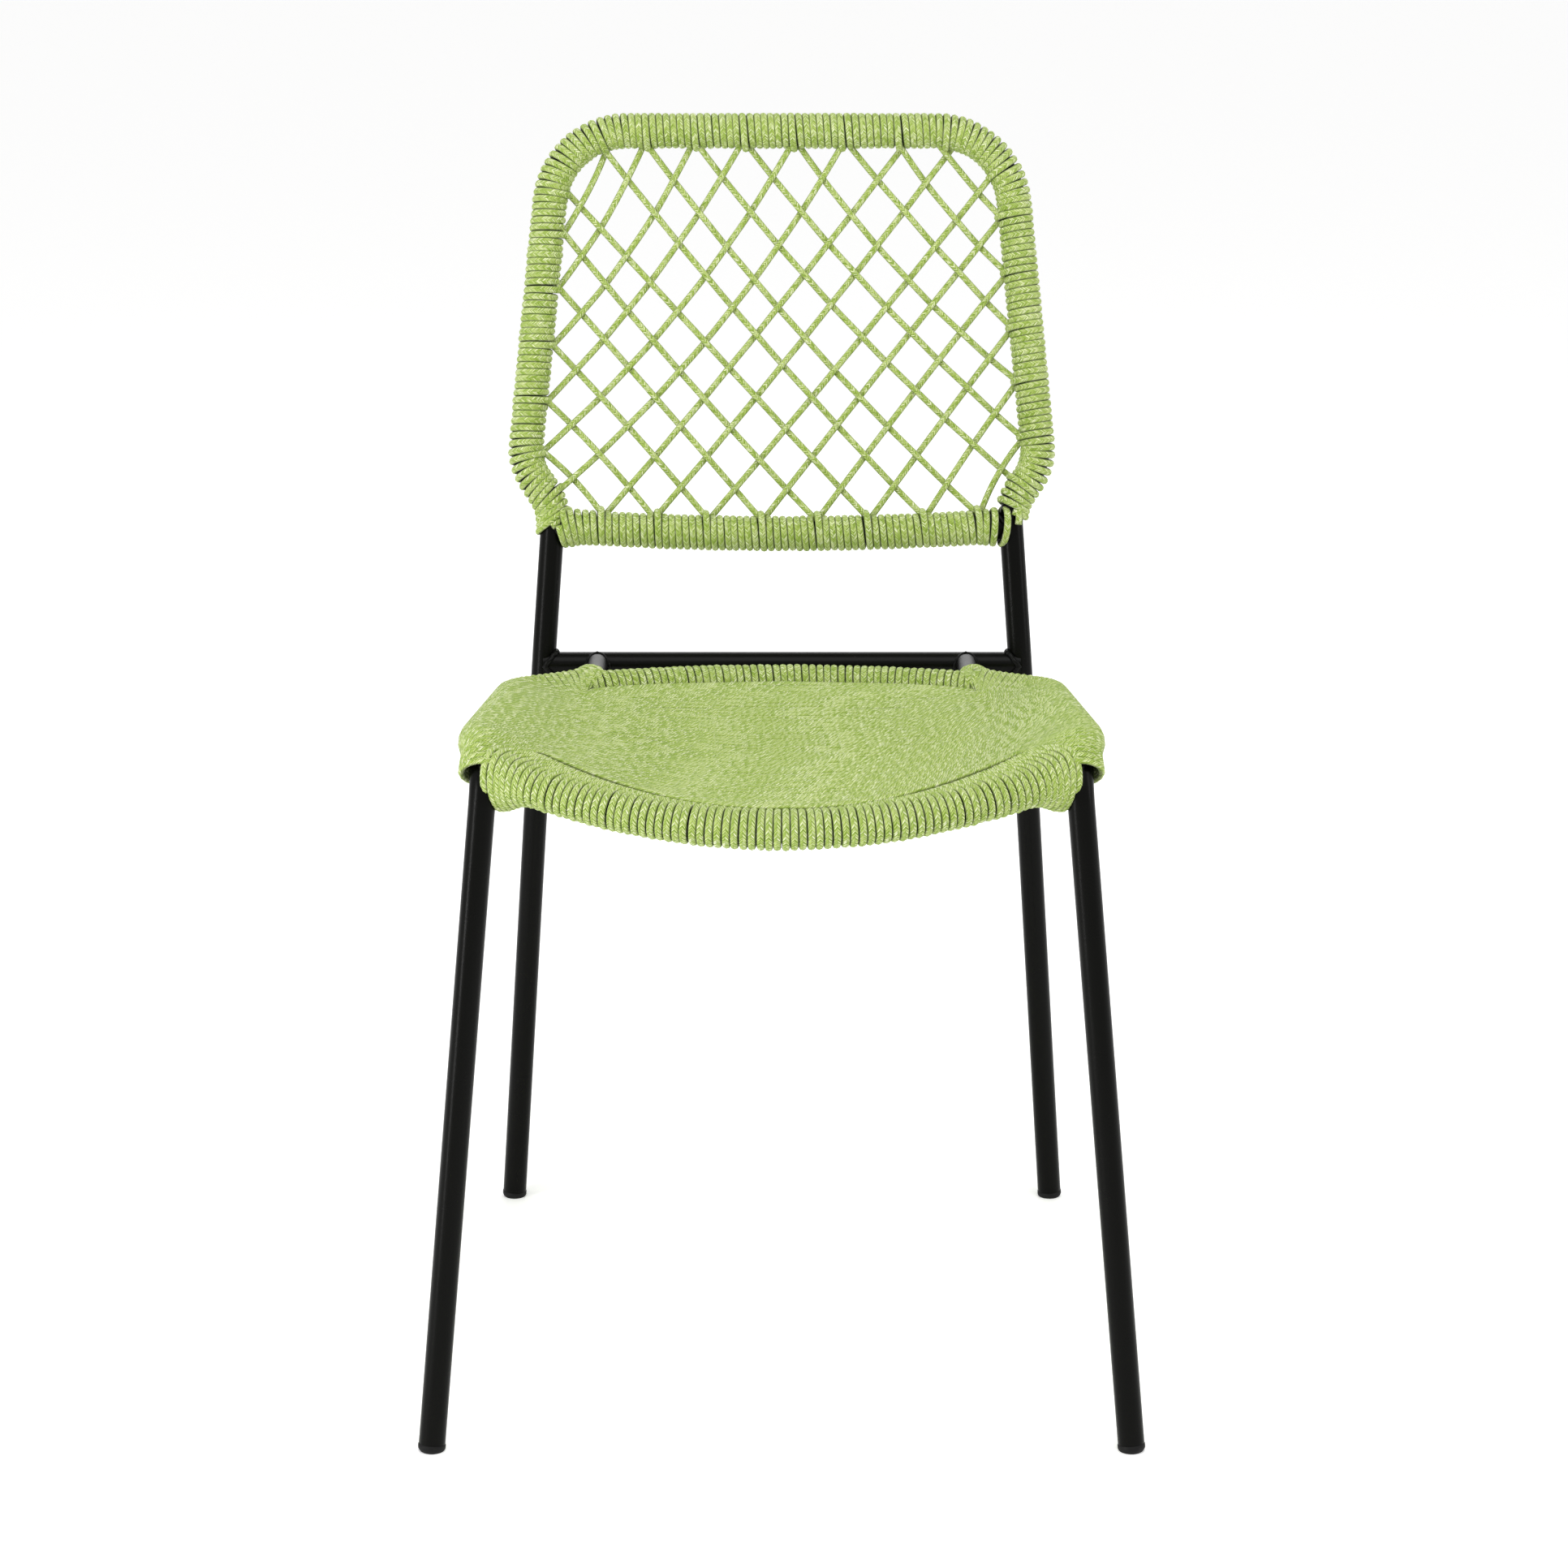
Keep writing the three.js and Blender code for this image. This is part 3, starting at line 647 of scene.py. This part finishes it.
up, ahead, sideways = spot(0, 0, 1), spot(0, 1, 0), spot(1, 0, 0)
joints = {
    "crossbar": (crossbar, up),
    "back_rail": (back_rail, up),
    "front_rail": (front_rail, unit(up + ahead)),
    "rear_rail": (rear_rail, ahead),
}
for joint_name, (path, direction) in joints.items():
    for hand, at_end in (("left", False), ("right", True)):
        bead = weld_bead(path, at_end, direction)
        keep(bead, f"bead_{joint_name}_{hand}", weld_paint, "painted_weld", f"weld_{joint_name}_{hand}")
for hand, path in sides.items():
    bead = weld_bead(path, True, sideways, STUB_BEAD_RADIUS)
    keep(bead, f"bead_stub_{hand}", weld_paint, "painted_weld", f"weld_stub_{hand}")
print(sum(name.startswith("bead") for name in made), "weld beads")

# %% [markdown]
# Each leg stands on a black plastic plug. Its stem is pressed into the tube and its cap is a
# little wider than the tube, with a rounded edge and a sole that is cut flat to the floor.

# %% Foot plugs
PLUG_CAP_RADIUS = 9.3
PLUG_STEM_RADIUS = 7.2
PLUG_STEM_LENGTH = 20.0


def foot_plug(foot, axis):
    cap_height = SOCKET_HEIGHT - 0.2
    piece = ring_at(foot + axis * PLUG_STEM_LENGTH, axis, PLUG_STEM_RADIUS - 1, 36)
    profile = [
        (PLUG_STEM_RADIUS, PLUG_STEM_LENGTH - 2),
        (PLUG_STEM_RADIUS, cap_height + 1.0),
        (PLUG_STEM_RADIUS - 0.6, cap_height + 0.4),
        (PLUG_STEM_RADIUS - 0.6, cap_height),
        (PLUG_CAP_RADIUS - 0.5, cap_height),
        (PLUG_CAP_RADIUS, cap_height - 0.6),
        (PLUG_CAP_RADIUS, 1.8),
        (PLUG_CAP_RADIUS - 0.7, 0.4),
        (PLUG_CAP_RADIUS - 1.8, -0.8),
        (PLUG_CAP_RADIUS - 4.0, -2.0),
    ]
    radius, height = PLUG_STEM_RADIUS - 1, PLUG_STEM_LENGTH
    for next_radius, next_height in profile:
        bpy.ops.mesh.extrude_region_move(
            TRANSFORM_OT_translate={"value": Vector(axis * (next_height - height)) * MM}
        )
        ratio = next_radius / radius
        centre = to_metres(foot + axis * next_height)
        bpy.ops.transform.resize(value=(ratio, ratio, ratio), center_override=centre)
        radius, height = next_radius, next_height
    bpy.ops.mesh.select_all(action="SELECT")
    bpy.ops.mesh.bisect(plane_co=(0, 0, 0), plane_no=(0, 0, 1), clear_inner=True, use_fill=False)
    close_and_smooth(piece)
    return piece


feet = {"front": (front_foot, front_axis), "rear": (rear_foot, rear_axis)}
for end, (foot, axis) in feet.items():
    stands = {"right": (foot, axis), "left": (mirrored(foot), mirrored(axis))}
    for hand, (place, lean) in stands.items():
        plug = foot_plug(place, lean)
        keep(plug, f"plug_{end}_{hand}", plastic, "foot_plastic", f"foot_plug_{end}_{hand}")
print(sum(name.startswith("plug") for name in made), "foot plugs")

# %% [markdown]
# All the soft parts are one rope. A rope is a thin mesh tube that is swept along a row of places,
# and its section is a flattened round that always lies flat on what it is wound on, so each place
# comes with the direction that faces away from the wound tube. U and V are kept for the braid.

# %% Ropes
ROPE_SIDES = 8


def ring_of(centres, outs, width, thickness):
    """The section's corners at each place of one strand, as an array of rings."""
    along = unit(np.gradient(centres, axis=0))
    outs = unit(outs - along * np.sum(along * outs, axis=1, keepdims=True))
    beside = np.cross(along, outs)
    angle = 2 * math.pi * np.arange(ROPE_SIDES) / ROPE_SIDES
    high = np.cos(angle)[None, :, None] * outs[:, None] * thickness / 2
    wide = np.sin(angle)[None, :, None] * beside[:, None] * np.reshape(width, (-1, 1, 1)) / 2
    return centres[:, None] + high + wide


def rope_mesh(name, strands, width=ROPE_WIDTH, thickness=ROPE_THICKNESS):
    """One mesh for a list of strands, each a row of centres and a row of outward directions."""
    places, faces, marks = [], [], []
    for centres, outs, *widths in strands:
        count, base = len(centres), len(places) * ROPE_SIDES
        rings = ring_of(centres, outs, widths[0] if widths else np.full(count, width), thickness)
        steps = np.linalg.norm(np.diff(centres, axis=0), axis=1)
        runs = (np.concatenate([[0.0], np.cumsum(steps)]) + 37 * draw.random()) / STITCH
        places.extend(rings)
        for k in range(count - 1):
            for j in range(ROPE_SIDES):
                low, high = base + k * ROPE_SIDES, base + (k + 1) * ROPE_SIDES
                after = (j + 1) % ROPE_SIDES
                faces.append((low + j, low + after, high + after, high + j))
                left, right = j / ROPE_SIDES, (j + 1) / ROPE_SIDES
                marks += [(left, runs[k]), (right, runs[k]), (right, runs[k + 1]), (left, runs[k + 1])]
        last = base + (count - 1) * ROPE_SIDES
        faces.append(tuple(base + j for j in reversed(range(ROPE_SIDES))))
        faces.append(tuple(last + j for j in range(ROPE_SIDES)))
        marks += [(j / ROPE_SIDES, runs[0]) for j in reversed(range(ROPE_SIDES))]
        marks += [(j / ROPE_SIDES, runs[-1]) for j in range(ROPE_SIDES)]
    mesh = bpy.data.meshes.new(name)
    mesh.from_pydata(to_metres(np.concatenate(places)).tolist(), [], faces)
    mesh.uv_layers.new(name="rope_uv").data.foreach_set("uv", np.array(marks, float).ravel())
    mesh.polygons.foreach_set("use_smooth", np.ones(len(faces), bool))
    mesh.update()
    piece = bpy.data.objects.new(name, mesh)
    bpy.context.scene.collection.objects.link(piece)
    return piece


# %% [markdown]
# A winding is a helix round a path. Real turns are never quite even: their widths and heights
# vary a little, and where a lattice rope is tied in, one turn stands proud on the inner side and
# pushes its neighbours away, which leaves a small dark gap there.

# %% Wind a rope round a path
TURN_STEPS = 16
UNEVEN_WIDTH, UNEVEN_HEIGHT = 0.045, 0.16
SHOVE_LEAST, SHOVE_MOST = 0.2, 1.2
TIE_LENGTH, SHOVE_FROM, SHOVE_REACH = 0.19, 0.35, 2.2   # in turns
SMOOTH_REACH = 12.0           # a turn squares itself to this much of the path each way


def near_ends(turn, turns, reach):
    """1 at the first and last turn of a winding, falling off over reach turns."""
    return np.exp(-((turn / reach) ** 2)), np.exp(-(((turns - turn) / reach) ** 2))


def winding(path, start, end, turns, face, ties=(), inward=0.0, proud=2.4, tilt=None, swell=None):
    """Centres and outward directions. face is the viewer's side of the path, at angle 0."""
    turn = np.linspace(0, turns, int(turns * TURN_STEPS) + 1)
    whole = np.arange(turns + 2)
    edges = np.concatenate([[0.0], np.cumsum(1 + draw.normal(0, UNEVEN_WIDTH, turns + 1))])
    edges /= edges[turns]
    s = start + (end - start) * np.interp(turn, whole, edges)
    radius = WRAP_RADIUS + np.interp(turn, whole, draw.normal(UNEVEN_HEIGHT, UNEVEN_HEIGHT, len(whole)))
    angle = 2 * math.pi * turn
    inside = 0.5 + 0.5 * np.cos(angle - inward)
    for tie in ties:
        middle = round(float(np.interp(tie, s, turn)) - inward / (2 * math.pi)) + inward / (2 * math.pi)
        away = turn - middle
        radius = radius + proud * np.exp(-((away / TIE_LENGTH) ** 2))
        shove = draw.uniform(SHOVE_LEAST, SHOVE_MOST) * (0.25 + 0.75 * inside)
        fading = np.exp(-np.abs(away) / SHOVE_REACH) * np.clip(np.abs(away) / SHOVE_FROM, 0, 1)
        s = s + shove * np.sign(away) * fading
    if swell is not None:
        radius = radius + swell(turn, turns)
    along = path.direction(s, SMOOTH_REACH)
    front = unit(face - along * np.sum(along * face, axis=1, keepdims=True))
    beside = np.cross(along, front)
    outs = np.cos(angle)[:, None] * front + np.sin(angle)[:, None] * beside
    centres = path.at(s) + outs * radius[:, None]
    if tilt is not None:
        centres = centres + along * tilt(turn, turns, angle)[:, None]
    print("   ", turns, "turns at", round(abs(end - start) / turns, 2), "mm")
    return centres, outs


# %% [markdown]
# The hoop is wound from just above one upright, round the top and down to the other. The lattice
# is tied to it at seven places up each side and eight along the top, and at eight places along
# the lower back rail. The spacing of the ties is uneven, as on a hand-tied back.

# %% Where the lattice is tied
TOP_TIES = [-138, -102, -65, -28, 10, 48, 90, 125.5]
BOTTOM_TIES = [-135, -96.5, -55.5, -15, 26, 66, 108, 148.5]
LEFT_TIES = [786, 755, 715, 673, 632, 593, 559]
RIGHT_TIES = [805, 765.5, 725, 685, 645.5, 604, 564]
BACK_NORMAL = spot(0, -math.cos(BACK_RECLINE), math.sin(BACK_RECLINE))
MIDDLE_OF_BACK = on_back(0, 690)
SIDE_LEAN = (HOOP_WIDEST_SPREAD - HOOP_TOP_SPREAD) / (HOOP_TOP_HEIGHT - HOOP_WIDEST_HEIGHT)


def hoop_side(height, hand):
    """The run of the hoop at a height, on its right (1) or left (-1) side."""
    tucked = (SIDE_LEAN + 0.85) * max(0.0, HOOP_WIDEST_HEIGHT - 6 - height)
    spread = HOOP_TOP_SPREAD + SIDE_LEAN * (HOOP_TOP_HEIGHT - height) - tucked
    return hoop.nearest(on_back(hand * spread, height))


ties = {
    "left": [hoop_side(height, -1) for height in LEFT_TIES],
    "right": [hoop_side(height, 1) for height in RIGHT_TIES],
    "top": [hoop.nearest(on_back(x, HOOP_TOP_HEIGHT)) for x in TOP_TIES],
    "bottom": [back_rail.nearest(on_back(x, BACK_RAIL_HEIGHT - 4)) for x in BOTTOM_TIES],
}
print({side: len(runs) for side, runs in ties.items()}, "ties")

# %% [markdown]
# The hoop and the lower rail are wound past those ties. The turns of the hoop nearest to each
# upright slant, and the first and last turns of the lower rail slant and stand out a little.

# %% Wind the back
INWARD = -math.pi / 2
HOOP_PITCH = 5.22
RAIL_TURNS = 64
HOOP_LEAN_FIRST, HOOP_LEAN_LAST = 3.0, 7.0
RAIL_SWELL_FIRST, RAIL_SWELL_LAST = 3.2, 3.4
RAIL_LEAN, RAIL_LAST_SHIFT = 4.0, 8.0


def hoop_tilt(turn, turns, angle):
    """The last turns above each upright slant, low on the outside and high on the inside."""
    first, last = near_ends(turn, turns, 6)
    return (HOOP_LEAN_LAST * last - HOOP_LEAN_FIRST * first) * np.sin(angle)


hoop_start = hoop.nearest(on_back(UPRIGHT_TOP_SPREAD + 1, UPRIGHT_TOP_HEIGHT - 4))
hoop_end = hoop.nearest(on_back(-UPRIGHT_TOP_SPREAD - 1, UPRIGHT_TOP_HEIGHT - 15))
wound = winding(
    hoop, hoop_start, hoop_end, round((hoop_end - hoop_start) / HOOP_PITCH), BACK_NORMAL,
    ties=ties["left"] + ties["top"] + ties["right"], inward=INWARD, tilt=hoop_tilt,
)
keep(rope_mesh("hoop_winding", [wound]), "hoop_winding", rope, "braided_rope", "rope_winding_hoop")


def rail_swell(turn, turns):
    """The first and last turns lie over others, so they stand out from the rail."""
    first, last = near_ends(turn, turns, 2.2)
    return RAIL_SWELL_FIRST * first + RAIL_SWELL_LAST * last


def rail_tilt(turn, turns, angle):
    first, last = near_ends(turn, turns, 3.2)
    outermost = near_ends(turn, turns, 1.4)[1]
    lean = RAIL_LEAN * (first - last) * np.sin(angle)
    return lean + RAIL_LAST_SHIFT * outermost * (0.5 + 0.5 * np.cos(angle))


lower = winding(
    back_rail, 4.5, back_rail.length - 2.5, RAIL_TURNS, BACK_NORMAL,
    ties=ties["bottom"], inward=INWARD, proud=3.6, swell=rail_swell, tilt=rail_tilt,
)
lower_piece = rope_mesh("lower_rail_winding", [lower])
keep(lower_piece, "lower_rail_winding", rope, "braided_rope", "rope_winding_back_rail")

# %% [markdown]
# The lattice is two sets of slanting ropes. They pass over and under each other in turn, each one
# bows a little, and each end slips in beside the proud turn that it is tied to.

# %% Weave the lattice
LATTICE_WIDTH, LATTICE_THICKNESS = 4.6, 4.1
WOUND_RADIUS = TUBE_RADIUS + ROPE_THICKNESS
TUCKED_IN = 4.0
OVER = 1.9                    # how far a rope is lifted in front of or behind the one it crosses
CROSSING_GAP = 4.0
# Millimetres that each rope bows aside at its middle, in the order in which they are laid.
FALLING_BOWS = [-2, -2, -1.5, -0.5, 3, 0, 5, 8, 9, 7, 8, 2, 3, 0.5]
RISING_BOWS = [2, 4, 7, 7.5, 12, 13.5, 3, 2.5, 1.5, -0.5, -1, -0.5, -1, -2.5]
STRAND_STEPS = 72
# Millimetres from the middle of each tie to where its ropes leave it.
TOP_ASIDE = [0.5, 3, 4, 4.5, 4.5, 4.5, 0, -4.5]
ASIDE = {"left": [1] * 7, "right": [3.2] * 7, "bottom": [3.2] * 8, "top": TOP_ASIDE}


def tie_place(side, number, falling):
    """Where a rope leaves a tie: falling ropes to its lower or right side, rising ropes to the other."""
    path = back_rail if side == "bottom" else hoop
    aside = ASIDE[side][number] * (1 if falling == (side in ("left", "right")) else -1)
    s = ties[side][number] + aside
    inner = unit(np.cross(path.direction(s), BACK_NORMAL))
    inner = inner * np.sign(inner @ (MIDDLE_OF_BACK - path.at(s)))
    return path.at(s) + inner * WOUND_RADIUS


def strand_line(first, last, falling, bow):
    a, b = tie_place(*first, falling), tie_place(*last, falling)
    tuck = TUCKED_IN / np.linalg.norm(b - a)
    t = np.linspace(-tuck, 1 + tuck, STRAND_STEPS)[:, None]
    across = unit(np.cross(BACK_NORMAL, b - a))
    return a + (b - a) * t - across * bow * 4 * t * (1 - t)


def numbered(side, numbers):
    return [(side, k) for k in numbers]


falling_from = numbered("left", range(5, -1, -1)) + numbered("top", range(8))
falling_to = numbered("bottom", range(8)) + numbered("right", range(6, 0, -1))
rising_from = numbered("left", range(1, 7)) + numbered("bottom", range(8))
rising_to = numbered("top", range(8)) + numbered("right", range(6))
falling = [strand_line(a, b, True, bow) for a, b, bow in zip(falling_from, falling_to, FALLING_BOWS)]
rising = [strand_line(a, b, False, bow) for a, b, bow in zip(rising_from, rising_to, RISING_BOWS)]


def interlaced(line, number, others, first_side):
    """The line lifted in front of and behind the ropes that it crosses, in turn."""
    crossings = []
    for other_number, other in enumerate(others):
        gaps = np.linalg.norm(line[:, None] - other[None], axis=2)
        step, other_step = np.unravel_index(np.argmin(gaps), gaps.shape)
        if gaps[step, other_step] < CROSSING_GAP:
            crossings.append((step, OVER * first_side * (-1 if (number + other_number) % 2 else 1)))
    steps, lifts = zip(*sorted(crossings))
    fine = np.arange(len(line))
    place = np.clip(np.searchsorted(steps, fine, side="right") - 1, 0, len(steps) - 2)
    low, high = np.array(steps)[place], np.array(steps)[place + 1]
    share = np.clip((fine - low) / np.maximum(high - low, 1), 0, 1)
    ease = (1 - np.cos(math.pi * share)) / 2
    lift = np.array(lifts)[place] * (1 - ease) + np.array(lifts)[place + 1] * ease
    return line + BACK_NORMAL * lift[:, None], np.broadcast_to(BACK_NORMAL, line.shape)


strands = [interlaced(line, k, rising, 1) for k, line in enumerate(falling)]
strands += [interlaced(line, k, falling, -1) for k, line in enumerate(rising)]
keep(
    rope_mesh("back_lattice", strands, LATTICE_WIDTH, LATTICE_THICKNESS),
    "back_lattice", rope, "braided_rope", "rope_back_lattice",
)
print(len(falling), "falling and", len(rising), "rising ropes")

# %% [markdown]
# The seat is a sandwich. Lengthwise ropes run from the front rail to the rear rail, and one long
# rope is wound crosswise over and under them, round both side rails. The front edge of the
# crosswise sheet bows back towards the corners, where it turns up in a wing on each side.

# %% The shape of the seat
CREASE_FRONT, CREASE_REAR = 166.0, 150.0
FIELD_FRONT, FIELD_REAR, FIELD_SAG = 441.0, 435.0, 6.5
CREASE_RISE = 21.5
EDGE_FRONT, EDGE_BOW, EDGE_HALF = -234.0, 88.0, 177.0
EDGE_LIFT, EDGE_LIFT_REACH = 3.4, 0.05
REAR_EDGE_GAP = 13.5


def crease_at(share):
    return CREASE_FRONT + (CREASE_REAR - CREASE_FRONT) * share


def field_place(x, share, depth=0.0):
    """A place on the seat inside its creases; share runs from 0 at the front to 1 at the rear."""
    front_y = EDGE_FRONT + EDGE_BOW * (x / EDGE_HALF) ** 2
    rear_bow = (REAR_RAIL_REACH - rear_rail_end[1]) * (x / rear_rail_end[0]) ** 2
    y = front_y * (1 - share) + (REAR_RAIL_REACH - rear_bow - REAR_EDGE_GAP) * share
    side = (x / crease_at(share)) ** 2
    front_z = FIELD_FRONT + CREASE_RISE * side
    lift = EDGE_LIFT * np.exp(-((share / EDGE_LIFT_REACH) ** 2))
    sag = FIELD_SAG * np.sin(math.pi * np.clip(share, 0, 1)) * (1 - 0.4 * side)
    z = front_z * (1 - share) + FIELD_REAR * share + lift - sag - depth
    return np.stack([x + 0 * z, y + 0 * z, z + 0 * x], axis=-1)


def bezier(a, b, c, d, count):
    t = np.linspace(0, 1, count + 2)[1:-1, None]
    return a * (1 - t) ** 3 + 3 * b * t * (1 - t) ** 2 + 3 * c * t**2 * (1 - t) + d * t**3


def joined(first, last, first_handle, last_handle, count):
    """A smooth run of places from the end of one row to the start of another."""
    gap = np.linalg.norm(last[0] - first[-1])
    leaving = unit(first[-1] - first[-2]) * gap * first_handle
    arriving = unit(last[1] - last[0]) * gap * last_handle
    return bezier(first[-1], first[-1] + leaving, last[0] - arriving, last[0], count)


def blended(first, last, count):
    share = np.linspace(0, 1, count + 2)[1:-1, None]
    return unit(first * (1 - share) + last * share)


UP = spot(0, 0, 1)
print("creases at", CREASE_FRONT, "and", CREASE_REAR, "mm from the middle")

# %% [markdown]
# Each crosswise rope is laid out on the right half, from the middle of the seat out to its crease,
# up the wing, round the side rail and back below, and is then mirrored. At the front corners the
# turns start round the bend of the leg, and at the rear ones they fan out over the rail's bend.

# %% Lay the crosswise ropes
CROSSWISE = 78
CROSS_THICKNESS = 4.1
SNUG, NARROWEST, WIDEST = 1.06, 4.0, 9.0   # each rope is as wide as its lane, within reason
WRAP_OUT, CORNER_OUT = 12.4, 2.2
WRAP_FROM, WRAP_TO, WRAP_STEPS = 66, 300, 13   # degrees round the side rail
FIELD_STEPS = 14
UNDER_DEPTH = 9.4
LANE_DEPTH = 4.3
right_path = sides["right"]
first_station = right_path.nearest(front_rail_end) - 5.0
last_station = right_path.nearest(spot(STUB_SPREAD, STUB_BEND_REACH, SEAT_REAR_HEIGHT)) + 6.0
CORNER_CLOSENESS = 0.35


def wrap_arc(station, start, stop, count, out):
    """Places and outward directions round the side rail; angle 0 faces inwards and 90 up."""
    centre, along = right_path.at(station), right_path.direction(station)
    inward = unit(np.cross(UP, along))
    inward = inward * np.sign(inward @ spot(-1, -0.3, 0))
    rise = np.cross(along, inward)
    rise = rise * (1 if rise[2] > 0 else -1)
    angle = np.radians(np.linspace(start, stop, count))[:, None]
    outs = np.cos(angle) * inward + np.sin(angle) * rise
    return centre + outs * out, outs


def half_loop(share, station, sway):
    xs = np.linspace(0, 0.94 * crease_at(share), FIELD_STEPS)
    ripple = 0.35 * np.sin(xs / 23 + sway)
    top = field_place(xs, share) + ripple[:, None] * spot(0, 0.6, 1)
    corner = math.exp(-((share / 0.05) ** 2)) + math.exp(-(((1 - share) / 0.05) ** 2))
    out = WRAP_OUT + CORNER_OUT * corner
    wrap, wrap_outs = wrap_arc(station, WRAP_FROM, WRAP_TO, WRAP_STEPS, out)
    below = field_place(xs[::-1][2:], share, UNDER_DEPTH + EDGE_LIFT * corner)
    rise = joined(top, wrap, 0.30, 0.30, 6)
    fall = joined(wrap, below, 0.4, 0.35, 4)
    places = np.concatenate([top, rise, wrap, fall, below])
    outs = np.concatenate([
        np.broadcast_to(UP, top.shape), blended(UP, wrap_outs[0], len(rise)), wrap_outs,
        blended(wrap_outs[-1], -UP, len(fall)), np.broadcast_to(-UP, below.shape),
    ])
    return places, outs


def whole_loop(share, station):
    sway = draw.uniform(0, 2 * math.pi)
    places, outs = half_loop(share, station, sway)
    places = np.concatenate([mirrored(places)[:0:-1], places])
    outs = np.concatenate([mirrored(outs)[:0:-1], outs])
    return places, outs


def lane_widths(loops):
    """The width of each loop at each place: how far it is from its neighbours there."""
    rows = np.array([places for places, _ in loops])
    gaps = np.linalg.norm(np.diff(rows, axis=0), axis=2)
    before = np.concatenate([gaps[:1], gaps])
    after = np.concatenate([gaps, gaps[-1:]])
    return np.clip(SNUG * (before + after) / 2, NARROWEST, WIDEST)


loops = []
for k in range(CROSSWISE):
    share = (k + 0.5 + draw.normal(0, 0.05)) / CROSSWISE
    closer = share * (1 - CORNER_CLOSENESS * ((1 - share) ** 3))
    loops.append(whole_loop(share, first_station + (last_station - first_station) * closer))
loops = [(*loop, widths) for loop, widths in zip(loops, lane_widths(loops))]
keep(
    rope_mesh("seat_crosswise_ropes", loops, thickness=CROSS_THICKNESS),
    "seat_crosswise_ropes", rope, "braided_rope",
    "rope_seat_crosswise", "rope_winding_side_left", "rope_winding_side_right",
)
print(CROSSWISE, "crosswise ropes")

# %% [markdown]
# Each lengthwise rope starts behind the front rail, goes round below and in front of it, over its
# top and back between the two crosswise layers to the rear rail. At the corners the ropes stand
# out further, lean inwards and hang lower, because they lie over the joint with the leg.

# %% Lay the lengthwise ropes
LENGTHWISE = 78
JOINT_SWELL, JOINT_HANG, JOINT_LAPS = 2.6, 9.0, 4.2
JOINT_LEAN = 9.0
FRONT_MARGIN = 2.5
LAP_FROM, LAP_TO = -178, 84    # degrees round the front rail, from behind it to its top
LANE_FILL = 0.985
LANE_WIDTH = 5.2
CORNER_SLIT = 6.0
PRESSED_UP, PRESSED_UP_ASIDE = 1.2, 2.6


def lengthwise_rope(k):
    lane = 2 * (k + 0.5) / LENGTHWISE - 1
    share_along = (k + 0.5 + draw.normal(0, 0.025)) / LENGTHWISE
    s = FRONT_MARGIN + (front_rail.length - 2 * FRONT_MARGIN) * share_along
    along = front_rail.direction(s, 2 * SMOOTH_REACH)
    forward = unit(spot(0, -1, 0) - along * (along @ spot(0, -1, 0)))
    rise = np.cross(along, forward)
    rise = rise * np.sign(rise[2])
    ends = sum(near_ends(k, LENGTHWISE - 1, JOINT_LAPS))
    radius = WRAP_RADIUS + draw.normal(UNEVEN_HEIGHT, UNEVEN_HEIGHT) + JOINT_SWELL * ends
    angle = np.radians(np.linspace(LAP_FROM, LAP_TO, 19))[:, None]
    lap_outs = np.cos(angle) * forward + np.sin(angle) * rise
    lowness = 0.5 - 0.5 * np.sin(angle)
    lap = front_rail.at(s) + lap_outs * radius - UP * JOINT_HANG * ends * lowness
    lap = lap - along * np.sign(lane * along[0]) * JOINT_LEAN * ends * lowness
    share = np.linspace(0.03, 1.02, 18)
    near_edge = np.exp(-share / 0.06)
    slit = CORNER_SLIT * lane**24 if lane < 0 else 0
    pressed = PRESSED_UP + PRESSED_UP_ASIDE * lane**2
    run = field_place(lane * crease_at(share) * LANE_FILL, share, LANE_DEPTH + (slit - pressed) * near_edge)
    over = joined(lap, run, 0.35, 0.3, 6)
    places = np.concatenate([lap, over, run])
    outs = np.concatenate([lap_outs, blended(lap_outs[-1], UP, len(over)), np.broadcast_to(UP, run.shape)])
    return places, outs


lanes = [lengthwise_rope(k) for k in range(LENGTHWISE)]
keep(
    rope_mesh("seat_lengthwise_ropes", lanes, LANE_WIDTH, ROPE_THICKNESS),
    "seat_lengthwise_ropes", rope, "braided_rope", "rope_seat_lengthwise", "rope_winding_front_rail",
)
print(LENGTHWISE, "lengthwise ropes")

# %% [markdown]
# The rear rail shows its own close turns behind the crosswise sheet. They run on a little past
# each end of the rail, over the joint with the side tube.

# %% Wind the rear rail
REAR_TURNS = 55
REAR_LAP, REAR_LAP_FORWARD = 8.0, 3.0   # how far the winding runs on past each end of the rail
REAR_JOINT_SWELL, REAR_JOINT_LAPS = 2.4, 1.6
first_lap = rear_rail.at(0) + spot(-REAR_LAP, -REAR_LAP_FORWARD, 0)
last_lap = rear_rail.at(rear_rail.length) + spot(REAR_LAP, -REAR_LAP_FORWARD, 0)
rear_path = Path([first_lap, *rear_rail.points, last_lap])


def joint_swell(turn, turns):
    return REAR_JOINT_SWELL * sum(near_ends(turn, turns, REAR_JOINT_LAPS))


rear = winding(rear_path, 1.0, rear_path.length - 1.0, REAR_TURNS, spot(0, -1, 0), swell=joint_swell)
keep(rope_mesh("rear_winding", [rear]), "rear_winding", rope, "braided_rope", "rope_winding_rear_rail")
